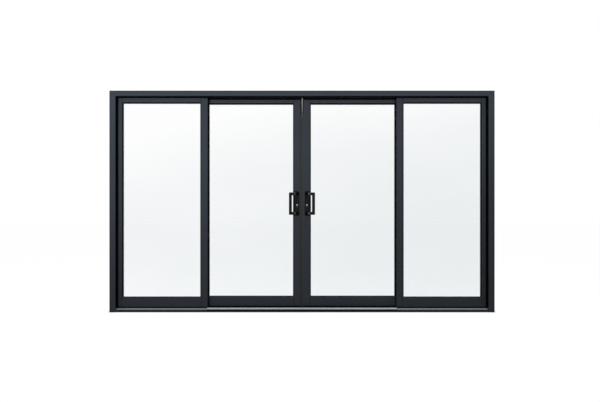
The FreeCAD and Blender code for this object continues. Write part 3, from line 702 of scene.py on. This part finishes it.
def moulded_plastic(name, colour, cloudy, roughness):
    finish, tree, shader = new_finish(name, roughness, specular=0.2)
    grain = use(tree, coating_grain, Grain_Size=420.0, Cloud_Size=9.0)
    base = blend_colours(tree, grain.outputs["Cloud"], colour, cloudy)
    # Painted shade in the creases
    base = shaded(tree, base, (0.003, 0.003, 0.003), painted_crease_shade)
    skin = bump(tree, grain.outputs["Height"], 0.00005, 0.4)
    feed(tree, shader, Base_Color=base, Normal=skin)
    return finish


ANTHRACITE = {
    "colour": (0.039, 0.046, 0.058),
    "cloudy": (0.044, 0.052, 0.065),
    "edge_wear_and_shine": (0.085, 0.092, 0.105),
    "low_colour": (0.0415, 0.0465, 0.056),
    "rough": 0.46,
}
frame_coat = powder_coat(
    "Anthracite frame coat",
    # Painted shade: the reveal's inner faces turned black
    masks=((painted_reveal_shade, NEARLY_BLACK), (mitre_line, NEARLY_BLACK)),
    **ANTHRACITE,
)
panel_coat = powder_coat(
    "Anthracite panel coat", masks=((butt_lines, NEARLY_BLACK),), reach=0.007, **ANTHRACITE
)
sill_paint = sill_coat("Anthracite sill coat")
black_coat = powder_coat(
    "Black satin coat",
    colour=(0.005, 0.005, 0.006),
    cloudy=(0.008, 0.008, 0.009),
    edge_wear_and_shine=(0.02, 0.02, 0.022),
    rough=0.38,
    # Painted light: the ends of the pulls' arms paler where light falls on them
    masks=((lit_arm_ends, (0.085, 0.087, 0.090)),),
    dust_and_sheen=0.05,
)
# Black for the rubber bosses, and for the sheets and strips that paint shade
boss_and_shade_black = rubber("Black for bosses and painted shade", (0.0012, 0.0012, 0.0012), (0.0025, 0.0025, 0.0025))
glass = make_glass()
# A strong painted sky sheen, with some dust, on the gaskets' faces that look up
gasket_rubber = rubber("Glazing rubber", (0.004, 0.004, 0.005), (0.007, 0.007, 0.008), dust_and_sheen=0.95)
stop_rubber = rubber("Stop rubber", (0.0012, 0.0012, 0.0013), (0.003, 0.003, 0.003), dust_and_sheen=0.03)
pile = brush_pile("Brush pile")
spacer_metal = drawn_metal(
    "Spacer aluminium", (0.20, 0.21, 0.22), (0.26, 0.27, 0.28), roughness=0.42, metallic=0.6
)
# The ramp's and cover's anodised colours are paler and bluer than the metal, as a painted
# reflection of the bright sky
STRIP = {"metallic": 0.0, "dust_and_sheen": 0.1, "specular": 0.2}
ramp_metal_and_sky_sheen = drawn_metal(
    "Anodised ramp with painted sky sheen", (0.37, 0.40, 0.445), (0.41, 0.44, 0.49), roughness=0.42, **STRIP
)
cover_metal_and_sky_sheen = drawn_metal(
    "Anodised cover with painted sky sheen", (0.68, 0.76, 0.86), (0.74, 0.82, 0.90), roughness=0.36, **STRIP
)
bead_coat_and_light = meeting_bead_coat_and_light("Bead coat with painted light and shade")
lock_steel = turned_steel("Satin nickel", (0.34, 0.34, 0.335), (0.44, 0.44, 0.43), 0.30)
dark_steel = turned_steel("Dark steel", (0.045, 0.045, 0.046), (0.065, 0.065, 0.066), 0.35)
screw_steel = turned_steel("Screw steel", (0.30, 0.30, 0.30), (0.40, 0.40, 0.40), 0.35)
roller_plastic = moulded_plastic("Roller plastic", (0.05, 0.05, 0.05), (0.07, 0.07, 0.07), 0.45)
filler_plastic = moulded_plastic(
    "Filler plastic", (0.006, 0.006, 0.007), (0.010, 0.010, 0.011), 0.5
)

# The ends of the nodes' names and the finish that each takes
FINISHES = {
    "head": frame_coat,
    "sill": sill_paint,
    "jamb": frame_coat,
    "stile": panel_coat,
    "rail": panel_coat,
    "glass": glass,
    "spacer": spacer_metal,
    "gaskets": gasket_rubber,
    "panel_packers": stop_rubber,
    "leaf_buffers": stop_rubber,
    "sill_ramps": ramp_metal_and_sky_sheen,
    "threshold_cover": cover_metal_and_sky_sheen,
    "pull": black_coat,
    "lock_plug": lock_steel,
    "rollers": roller_plastic,
    "meeting_bead": bead_coat_and_light,
    "meeting_lip": panel_coat,
    "head_filler": filler_plastic,
}


def dress_nodes():
    """Give each node the finish with the longest ending that its name has."""
    for name, thing in nodes.items():
        ending = max((e for e in FINISHES if name.endswith(e)), key=len)
        thing.data.materials.clear()
        thing.data.materials.append(FINISHES[ending])


# Pulls


def make_pull_bar():
    """The bar of the right outside pull: drawn flat, then swung out from the plate."""
    root_y = LEAF_FRONT - PLATE_THICKNESS / 2
    half_width, half_height = BAR_WIDTH / 2, BAR_HEIGHT / 2
    grip = ARM_ROOT + ARM_REACH
    top = PULL_HEIGHT + HALF_SPREAD
    bar = block(
        "pull_bar",
        (grip - half_height, root_y - half_width, top - half_height),
        (grip + half_height, root_y + half_width, top + half_height),
    )
    pick_faces(bar, lambda middle, normal: normal.z < -0.9)
    push_out(z=-(2 * HALF_SPREAD - BAR_HEIGHT))
    push_out(z=-BAR_HEIGHT)
    at_ends = HALF_SPREAD - 5
    pick_faces(
        bar, lambda middle, normal: normal.x < -0.9 and abs(middle.z - PULL_HEIGHT) > at_ends
    )
    push_out(x=-(ARM_REACH - half_height + 4))
    bpy.ops.mesh.select_all(action="SELECT")
    bpy.ops.transform.rotate(
        value=math.radians(ARM_ANGLE),
        orient_axis="Z",
        center_override=(ARM_ROOT * MM, root_y * MM, PULL_HEIGHT * MM),
    )
    bpy.ops.mesh.bisect(
        plane_co=(0, (LEAF_FRONT - 0.3) * MM, 0),
        plane_no=(0, 1, 0),
        use_fill=True,
        clear_outer=True,
    )
    put_down()
    soften(bar, 5, 1)
    soften(bar, 1.2, 2, steeper_than=30)
    return bar


def make_pull_plate():
    """The plate of the right outside pull, dished inside its rim and bored for the lock."""
    front = LEAF_FRONT - PLATE_THICKNESS
    plate = block(
        "pull_plate",
        (PLATE[0], front, PULL_HEIGHT - PLATE_HALF_HEIGHT),
        (PLATE[1], LEAF_FRONT, PULL_HEIGHT + PLATE_HALF_HEIGHT),
    )
    round_along(plate, 8, 6, "y")
    round_edges(plate, 2.2, 3, lambda middle, along: middle.y < front + 0.1)
    pick_faces(plate, lambda middle, normal: normal.y < -0.9 and middle.y < front + 0.1)
    bpy.ops.mesh.inset(thickness=2.2 * MM)
    bpy.ops.mesh.inset(thickness=0.6 * MM, depth=-0.5 * MM)
    put_down()
    bore(plate, front)
    return plate


def make_plate_shadow_seal():
    """The thin foam seal under the plate, wider on the outer side, which shows as a dark line round
    it and paints the plate's shadow on the stile.
    """
    half = PLATE_HALF_HEIGHT + 1.5
    seal = block(
        "plate_shadow_seal",
        (PLATE[0] - 1.2, LEAF_FRONT - 1, PULL_HEIGHT - half),
        (PLATE[1] + 3.4, LEAF_FRONT, PULL_HEIGHT + half),
    )
    round_along(seal, 9, 6, "y")
    pick_faces(seal, lambda middle, normal: normal.y < -0.9)
    push_out(y=-1.2)
    put_down()
    bore(seal, LEAF_FRONT)
    return seal


def make_bosses():
    """The rubber-capped boss behind each arm of the right outside pull."""
    front = LEAF_FRONT - PLATE_THICKNESS
    bosses = []
    for number, level in enumerate((PULL_HEIGHT - HALF_SPREAD, PULL_HEIGHT + HALF_SPREAD)):
        boss = block(
            f"boss_{number}",
            (PLATE[0] + 2, front - 7, level - 15),
            (PLATE[0] + 28, front + 2, level + 15),
        )
        round_along(boss, 6, 5, "y")
        soften(boss, 1.6, 3)
        bosses.append(boss)
    return merge("bosses", bosses)


def make_lock_case():
    """The fixed body of the key cylinder below its plug, level with the plug's face."""
    front = LEAF_FRONT - PLATE_THICKNESS - 1.0
    tail = lock_block("lock_case", 5, front, LEAF_FRONT, -25, -4)
    foot = LOCK_HEIGHT - 20
    round_edges(tail, 4.9, 6, lambda middle, along: abs(along.y) > 0.9 and middle.z < foot)
    bore(tail, front)
    soften(tail, 0.4, 2)
    return tail


def make_pulls():
    """The pulls with their lock cases, bosses and shadow-painting plate seals, all four copied from
    the right outside one.
    """
    master = merge("pull", [make_pull_plate(), make_pull_bar()])
    case = make_lock_case()
    ends = merge("bosses", [make_bosses(), make_plate_shadow_seal()])
    for side, sign in SIDES.items():
        for face in ("outside", "inside"):
            pull = copy_of(master, f"{side}_{face}_pull_dressed")
            lock = copy_of(case, f"{side}_{face}_lock_case")
            caps = copy_of(ends, f"{side}_{face}_pull_bosses")
            for piece in (pull, lock, caps):
                if sign < 0:
                    mirror(piece, "X")
                if face == "inside":
                    mirror(piece, "Y", LEAF_MIDDLE)
            fit(pull, black_coat, f"{side}_leaf")
            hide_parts(f"{side}_leaf_{face}_pull")
            fit(lock, dark_steel, f"{side}_leaf")
            fit(caps, boss_and_shade_black, f"{side}_leaf")
    discard(master, case, ends)


def make_plugs():
    """Key plug with its keyway, and the thumb-turn on the room side."""
    start = LEAF_FRONT - PLATE_THICKNESS - 1.5
    end = LEAF_BACK + PLATE_THICKNESS + 1.5
    middle = (LOCK_PLACE, (start + end) / 2, LOCK_HEIGHT)
    barrel = rod("plug", middle, PLUG_RADIUS, end - start, 48)
    pick_faces(barrel, lambda middle, normal: normal.y < -0.9)
    bpy.ops.mesh.inset(thickness=0.7 * MM)
    bpy.ops.mesh.inset(thickness=0.3 * MM, depth=-0.3 * MM)
    bpy.ops.mesh.inset(thickness=0.5 * MM, depth=0.3 * MM)
    put_down()
    for half_width, low, high in ((0.7, -4.4, 3.4), (1.5, -1.6, 0.6)):
        cut_out(barrel, lock_block("keyway", half_width, start - 2, start + 5, low, high))
    collar = rod("collar", (LOCK_PLACE, end + 1, LOCK_HEIGHT), 6.5, 4, 40)
    soften(collar, 0.5, 2)
    wing = lock_block("wing", 4.5, end + 1.5, end + 14, -17, 17)
    round_along(wing, 5.5, 6, "x")
    soften(wing, 1.8, 3)
    master = merge("plug", [barrel, collar, wing])
    for side, sign in SIDES.items():
        plug = copy_of(master, f"{side}_lock_plug_dressed")
        if sign < 0:
            mirror(plug, "X")
        fit(plug, lock_steel, f"{side}_lock")
        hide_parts(f"{side}_leaf_lock_plug")
    discard(master)


# Screws


def make_screw():
    """A pan head with a cross recess, facing out of the room side, at the origin."""
    head = rod("screw", (0, 0.9, 0), 3.8, 1.8, 24)
    round_edges(head, 1.3, 3, lambda middle, along: middle.y > 1.7)
    for low, high in (((-2.4, 0.9, -0.5), (2.4, 4, 0.5)), ((-0.5, 0.9, -2.4), (0.5, 4, 2.4))):
        cut_out(head, block("recess", low, high))
    return head


def make_screws():
    """The two screws in the plate of each inside pull."""
    master = make_screw()
    plate_middle, spread, sunk = sum(PLATE) / 2, 58, 0.6
    for side, sign in SIDES.items():
        heads = []
        for number, z in enumerate((PULL_HEIGHT - spread, PULL_HEIGHT + spread)):
            place = (sign * plate_middle, LEAF_BACK + PLATE_THICKNESS - sunk, z)
            heads.append(copy_of(master, f"{side}_plate_screw_{number}", place))
        fit(merge(f"{side}_plate_screws", heads), screw_steel, f"{side}_leaf")
    discard(master)


# Seals, brush strips, and black sheets and strips that paint shade


def rubber_strip(name, low, high, body, soft=0.8):
    strip = block(name, low, high)
    soften(strip, soft, 2)
    return fit(strip, stop_rubber, body)


def pile_strip(name, low, high, sense, body):
    """A brush strip along its longest side, ragged on its +Y face (sense 1) or -Y face (-1)."""
    strip = block(name, low, high)
    spans = [abs(b - a) for a, b in zip(low, high)]
    along = spans.index(max(spans))
    for cuts in (60, 7):
        pick_edges(strip, lambda middle, direction: abs(direction[along]) > 0.9)
        bpy.ops.mesh.subdivide(number_cuts=cuts)
    tip = high[1] if sense > 0 else low[1]
    pick_faces(strip, lambda middle, normal: abs(middle.y - tip) < 0.1)
    push_out(y=-sense * 0.3)
    bpy.ops.transform.vertex_random(offset=0.45 * MM, uniform=1.0, normal=0.0, seed=7)
    put_down()
    return fit(strip, pile, body)


def make_reveal_shade_sheets():
    """Black sheets that paint shade on the inner faces of the opening in front of the fixed panels,
    and the wedge seals.
    """
    start, end = -74.2, -22.4
    wedge_front, wedge_back = -23.6, -21
    for side, sign in SIDES.items():
        inner = sign * JAMB_INSIDE
        # Painted shade: a thin black sheet on each jamb's inner face
        low, high = (inner - sign * 0.6, start, 50), (inner + sign * 0.2, end, SOFFIT - 0.6)
        shade_sheet = block(f"{side}_reveal_shade_sheet", low, high)
        fit(shade_sheet, boss_and_shade_black, "frame")
        low, high = (inner - sign * 6.5, wedge_front, 43), (inner, wedge_back, SOFFIT - 0.6)
        rubber_strip(f"{side}_wedge_seal", low, high, "frame", 1.0)
    # Painted shade: a thin black sheet under the head
    low, high = (-JAMB_INSIDE, start, SOFFIT - 0.6), (JAMB_INSIDE, end, SOFFIT + 0.2)
    fit(block("head_reveal_shade_sheet", low, high), boss_and_shade_black, "frame")
    for side, sign in SIDES.items():
        low = (sign * INTERLOCK_NEAR, wedge_front, SOFFIT - 7)
        high = (sign * (JAMB_INSIDE - 7), wedge_back, SOFFIT)
        rubber_strip(f"{side}_head_wedge_seal", low, high, "frame", 1.0)


def make_glazing_lips():
    """The wide black lip of each gasket, lying on the glass outside and inside."""
    low, high = PANE_BASE + 4, PANE_TOP - 4
    # The lips' widths at the near stile, and outside at the far stile and under the top rail
    widths = {"leaf": (8.2, 11.5, 11), "fixed": (9, 15, 9.5)}
    for kind, (near, far) in PANE_EDGES.items():
        front, back = GLASS_FACES[kind]
        near_lip, *outside_lips = widths[kind]
        faces = (("outside", front, -1, *outside_lips), ("inside", back, 1, 7.5, 6))
        for side, sign in SIDES.items():
            ends = sorted((sign * (near + 4), sign * (far - 4)))
            lips = []
            for face, y, out, far_lip, top_lip in faces:
                foot, top = (ends[0], y + out * 0.05, low), (ends[1], y + out * 1.5, high)
                lip = block(f"{face}_lip", foot, top)
                hole = sorted((sign * (near + near_lip), sign * (far - far_lip)))
                foot, top = (hole[0], y - 5, low + 2), (hole[1], y + 5, high - top_lip)
                cut_out(lip, block("pane", foot, top))
                soften(lip, 0.6, 2)
                lips.append(lip)
            body = f"{side}_leaf" if kind == "leaf" else "frame"
            fit(merge(f"{side}_{kind}_glazing_lips", lips), gasket_rubber, body)


def make_head_and_sill_seals():
    """The brushes on both sides of the leaves, the seals and lips along the sill's front, and black
    strips that paint the head's shadow on the leaves and the shade on the ramps under the fixed
    panels.
    """
    reach = JAMB_INSIDE - 4
    outer = (REAR_SLOT[0] + 0.2, LEAF_FRONT - 0.7)
    inner = (LEAF_BACK + 0.7, REAR_SLOT[1] - 0.2)
    for name, (front, back), base, top, sense in (
        ("head_pile_outer", outer, 2041.5, 2052, 1),
        ("head_pile_inner", inner, 2041.5, 2052, -1),
        ("sill_pile_outer", outer, 26, 39, 1),
        ("sill_pile_inner", inner, 36, 48, -1),
    ):
        pile_strip(name, (-reach, front, base), (reach, back, top), sense, "frame")
    low, high = (-JAMB_INSIDE, -69.8, 16.5), (JAMB_INSIDE, -65.2, 26.4)
    rubber_strip("sill_nose_seal", low, high, "frame", 0.4)
    for side, sign in SIDES.items():
        # Painted shadow: a black strip on each leaf's front just under the head
        low, high = (sign * LOCK_NEAR, 28.4, 2028.8), (sign * LEAF_FAR, 29.1, SOFFIT)
        fit(block(f"{side}_leaf_head_shadow_strip", low, high), boss_and_shade_black, f"{side}_leaf")
        near, far = sign * INTERLOCK_NEAR, sign * JAMB_INSIDE
        lip = block(f"{side}_ramp_lip", (near, -70.6, 21.2), (far, -64.6, 26.2))
        soften(lip, 0.5, 2)
        fit(lip, ramp_metal_and_sky_sheen, "frame")
        # Painted shade: a black rubber strip on the ramp's flat under the fixed panel
        shade_flap = block(f"{side}_ramp_shade_flap", (near, -36, 34), (far, -20.5, 35.8))
        pick_faces(shade_flap, lambda middle, normal: normal.y < -0.9)
        bpy.ops.transform.translate(value=(0, 0, -2.4 * MM))
        put_down()
        soften(shade_flap, 0.4, 2)
        fit(shade_flap, stop_rubber, "frame")


def make_interlock_seals():
    """A rubber edge on each fixed interlock stile, and the brush that wipes the leaf."""
    for side, sign in SIDES.items():
        low = (sign * (INTERLOCK_NEAR - 3.5), -17, PANEL_BASE)
        high = (sign * (INTERLOCK_NEAR + 0.2), FIXED_BACK - 0.5, SOFFIT - 2)
        rubber_strip(f"{side}_interlock_edge", low, high, "frame")
        low = (sign * (INTERLOCK_NEAR + 1), FIXED_BACK, PANEL_BASE)
        high = (sign * (INTERLOCK_NEAR + 8), LEAF_FRONT - 0.7, SOFFIT - 2)
        pile_strip(f"{side}_interlock_pile", low, high, 1, "frame")


def make_meeting_seals():
    """The strip that closes the right side of the middle seam, and the brush behind the bead."""
    strip = block("meeting_closer", (6.5, 31.5, PANEL_BASE), (LOCK_NEAR, 49.6, PANEL_TOP))
    round_edges(
        strip, 1.5, 3, lambda middle, along: abs(along.z) > 0.9 and middle.x < 8 and middle.y < 33
    )
    fit(strip, bead_coat_and_light, "right_leaf")
    pile_strip("meeting_pile", (-3, 40, PANEL_BASE), (3, 49.2, PANEL_TOP - 2), 1, "left_leaf")


def make_threshold_shade_tread():
    """Ribbed black rubber let into the flat of the threshold cover, darkening it as painted shade.
    """
    half = INTERLOCK_NEAR - 4
    front, back, strips = -23.4, 23.6, 15
    # Painted shade: black ribbed rubber over the cover's flat in the middle bay
    shade_tread = block("threshold_shade_tread", (-half, front, 35), (half, back, 35.7))
    pick_edges(shade_tread, lambda middle, along: abs(along.y) > 0.9)
    bpy.ops.mesh.subdivide(number_cuts=strips - 1)
    strip_width = (back - front) / strips
    ribs = [front + strip_width * (step + 0.5) for step in range(0, strips, 2)]
    pick_faces(
        shade_tread,
        lambda middle, normal: normal.z > 0.9 and min(abs(middle.y - rib) for rib in ribs) < 0.5,
    )
    push_out(z=0.7)
    put_down()
    fit(shade_tread, stop_rubber, "frame")


# Lock face and caps


def make_lock_faces():
    """The lock's steel face in the left meeting edge, its two hooks drawn in, and the keep."""
    edge = -LOCK_NEAR
    low, high = LOCK_HEIGHT - 95, LOCK_HEIGHT + 75
    face = block("lock_face", (edge - 0.2, 42, low), (edge + 1.6, 58, high))
    round_along(face, 7.5, 6, "x")
    for level in HOOK_LEVELS:
        slot = block("hook_slot", (edge + 0.3, 46, level - 16), (edge + 5, 54, level + 16))
        cut_out(face, slot)
    soften(face, 0.3, 2)
    hooks = []
    for number, level in enumerate(HOOK_LEVELS):
        hook = block(f"hook_{number}", (edge + 0.2, 48, level - 13), (edge + 1.2, 52, level + 10))
        round_edges(hook, 3, 4, lambda middle, along: abs(along.y) > 0.9 and middle.z > level)
        hooks.append(hook)
    fit(merge("lock_face", [face, *hooks]), lock_steel, "left_leaf")
    keep = block("lock_keep", (5.8, 34, low + 10), (6.6, 47, high - 10))
    round_along(keep, 5, 5, "x")
    fit(keep, lock_steel, "right_leaf")


def make_roller_caps():
    """Plastic caps over the height screws of the rollers, on the room side."""
    height, from_end = 78, 120
    master = rod("cap", (0, 0.6, 0), 7, 1.6, 32)
    round_edges(master, 0.8, 3, lambda middle, along: middle.y > 1.3)
    cut_out(master, block("coin_slot", (-4.5, 0.8, -0.7), (4.5, 4, 0.7)))
    for side, sign in SIDES.items():
        caps = []
        for number, x in enumerate((LOCK_NEAR + from_end, LEAF_FAR - from_end)):
            caps.append(copy_of(master, f"{side}_cap_{number}", (sign * x, LEAF_BACK, height)))
        fit(merge(f"{side}_roller_caps", caps), filler_plastic, f"{side}_leaf")
    discard(master)


def make_glazing_beads():
    """The snap-in beads round each glass on the room side: a raised strip with mitred ends."""
    outside, width, inner_edge = 15, 8, 9
    for kind, (near, far) in PANE_EDGES.items():
        face = {"leaf": LEAF_BACK, "fixed": FIXED_BACK}[kind]
        for side, sign in SIDES.items():
            start, end = sorted((sign * near, sign * far))
            bead = block(
                f"{side}_{kind}_bead",
                (start - outside, face - 0.5, PANE_BASE - outside),
                (end + outside, face + 0.8, PANE_TOP + outside),
            )
            pick_faces(bead, lambda middle, normal: abs(normal.y) > 0.9)
            bpy.ops.mesh.inset(thickness=width * MM)
            bpy.ops.mesh.delete(type="FACE")
            pick_edges(
                bead,
                lambda middle, along: start - inner_edge < middle.x < end + inner_edge
                and PANE_BASE - inner_edge < middle.z < PANE_TOP + inner_edge,
            )
            bpy.ops.mesh.bridge_edge_loops()
            bpy.ops.mesh.select_all(action="SELECT")
            bpy.ops.mesh.normals_make_consistent(inside=False)
            put_down()
            soften(bead, 0.4, 2)
            body = f"{side}_leaf" if kind == "leaf" else "frame"
            fit(bead, panel_coat, body)


def make_pieces():
    make_pulls()
    make_plugs()
    make_screws()
    make_reveal_shade_sheets()
    make_glazing_lips()
    make_head_and_sill_seals()
    make_interlock_seals()
    make_meeting_seals()
    make_threshold_shade_tread()
    make_lock_faces()
    make_roller_caps()
    make_glazing_beads()


# Studio


def seen_rays(tree):
    """1 for rays from the camera, from gloss and through glass, and 0 for the light on the door."""
    path = tree.nodes.new("ShaderNodeLightPath")
    seen = math_node(tree, "MAXIMUM", path.outputs["Is Camera Ray"], path.outputs["Is Glossy Ray"])
    return math_node(tree, "MAXIMUM", seen, path.outputs["Is Transmission Ray"])


def make_floor():
    """A pale floor that reads white, with a painted contact shadow where the door stands on it."""
    bpy.ops.mesh.primitive_plane_add(size=40, location=(0, 4, 0))
    floor = bpy.context.object
    floor.name = "studio_floor"
    finish, tree, shader = new_finish("Pale floor", 0.9, specular=0.0)
    feed(tree, shader, Base_Color=(0.20, 0.20, 0.20, 1))
    # Painted contact shadow: the floor's glow dimmed by ambient occlusion close to the door
    contact = tree.nodes.new("ShaderNodeAmbientOcclusion")
    feed(tree, contact, Distance=0.035)
    in_contact, in_the_open = 0.35, 0.93
    share = between(tree, contact.outputs["AO"], 0.4, 1.0, in_contact, in_the_open)
    glow = tree.nodes.new("ShaderNodeEmission")
    feed(tree, glow, Strength=math_node(tree, "MULTIPLY", seen_rays(tree), share))
    both = tree.nodes.new("ShaderNodeAddShader")
    supply(tree, shader.outputs["BSDF"], both.inputs[0])
    supply(tree, glow.outputs["Emission"], both.inputs[1])
    feed(tree, tree.nodes["Material Output"], Surface=both.outputs["Shader"])
    floor.data.materials.append(finish)


def make_world():
    """An even room light on the door, and white behind it for every ray that is seen."""
    world = bpy.data.worlds.new("studio")
    bpy.context.scene.world = world
    world.use_nodes = True
    tree = world.node_tree
    room = tree.nodes["Background"]
    white = tree.nodes.new("ShaderNodeBackground")
    for light, strength in ((room, 0.30), (white, 1.0)):
        feed(tree, light, Color=(1, 1, 1, 1), Strength=strength)
    switch = tree.nodes.new("ShaderNodeMixShader")
    surfaces = (seen_rays(tree), room.outputs["Background"], white.outputs["Background"])
    for surface, socket in zip(surfaces, switch.inputs):
        supply(tree, surface, socket)
    feed(tree, tree.nodes["World Output"], Surface=switch.outputs["Shader"])


def add_lamp(name, place, target, length, width, power):
    """A soft panel lamp that isn't seen itself."""
    lamp = bpy.data.lights.new(name, "AREA")
    lamp.shape = "RECTANGLE"
    lamp.size = length
    lamp.size_y = width
    lamp.energy = power
    holder = bpy.data.objects.new(name, lamp)
    bpy.context.scene.collection.objects.link(holder)
    holder.location = place
    holder.rotation_euler = (Vector(target) - Vector(place)).to_track_quat("-Z", "Y").to_euler()
    holder.visible_camera = False
    holder.visible_glossy = False
    holder.visible_transmission = False


def make_lamps():
    """Name, place, the point each lamp looks at, its length and width, and its power in watts."""
    for lamp in (
        ("left_lamp", (-2.5, -5.0, 0.6), (-2.0, -3.5, 8.6), 1.4, 1.4, 475),
        ("right_lamp", (2.5, -3.5, 1.5), (2.0, -2.35, 9.5), 1.1, 1.1, 100),
        ("top_lamp", (0, -0.6, 4.5), (0, -0.1, 0), 4.0, 0.5, 55),
        ("room_lamp", (2.5, 5.0, 0.6), (2.0, 3.35, 8.6), 1.4, 1.4, 450),
    ):
        add_lamp(*lamp)


def make_camera():
    camera = bpy.data.cameras.new("photo_camera")
    camera.sensor_width = CAMERA_SENSOR
    camera.lens = CAMERA_LENS
    holder = bpy.data.objects.new("photo_camera", camera)
    bpy.context.scene.collection.objects.link(holder)
    holder.location = CAMERA_PLACE
    holder.rotation_euler = (math.radians(90), 0, 0)
    bpy.context.scene.camera = holder


put_down()
dress_nodes()
make_pieces()
make_floor()
make_world()
make_lamps()
make_camera()
bpy.context.scene.view_settings.view_transform = "Standard"
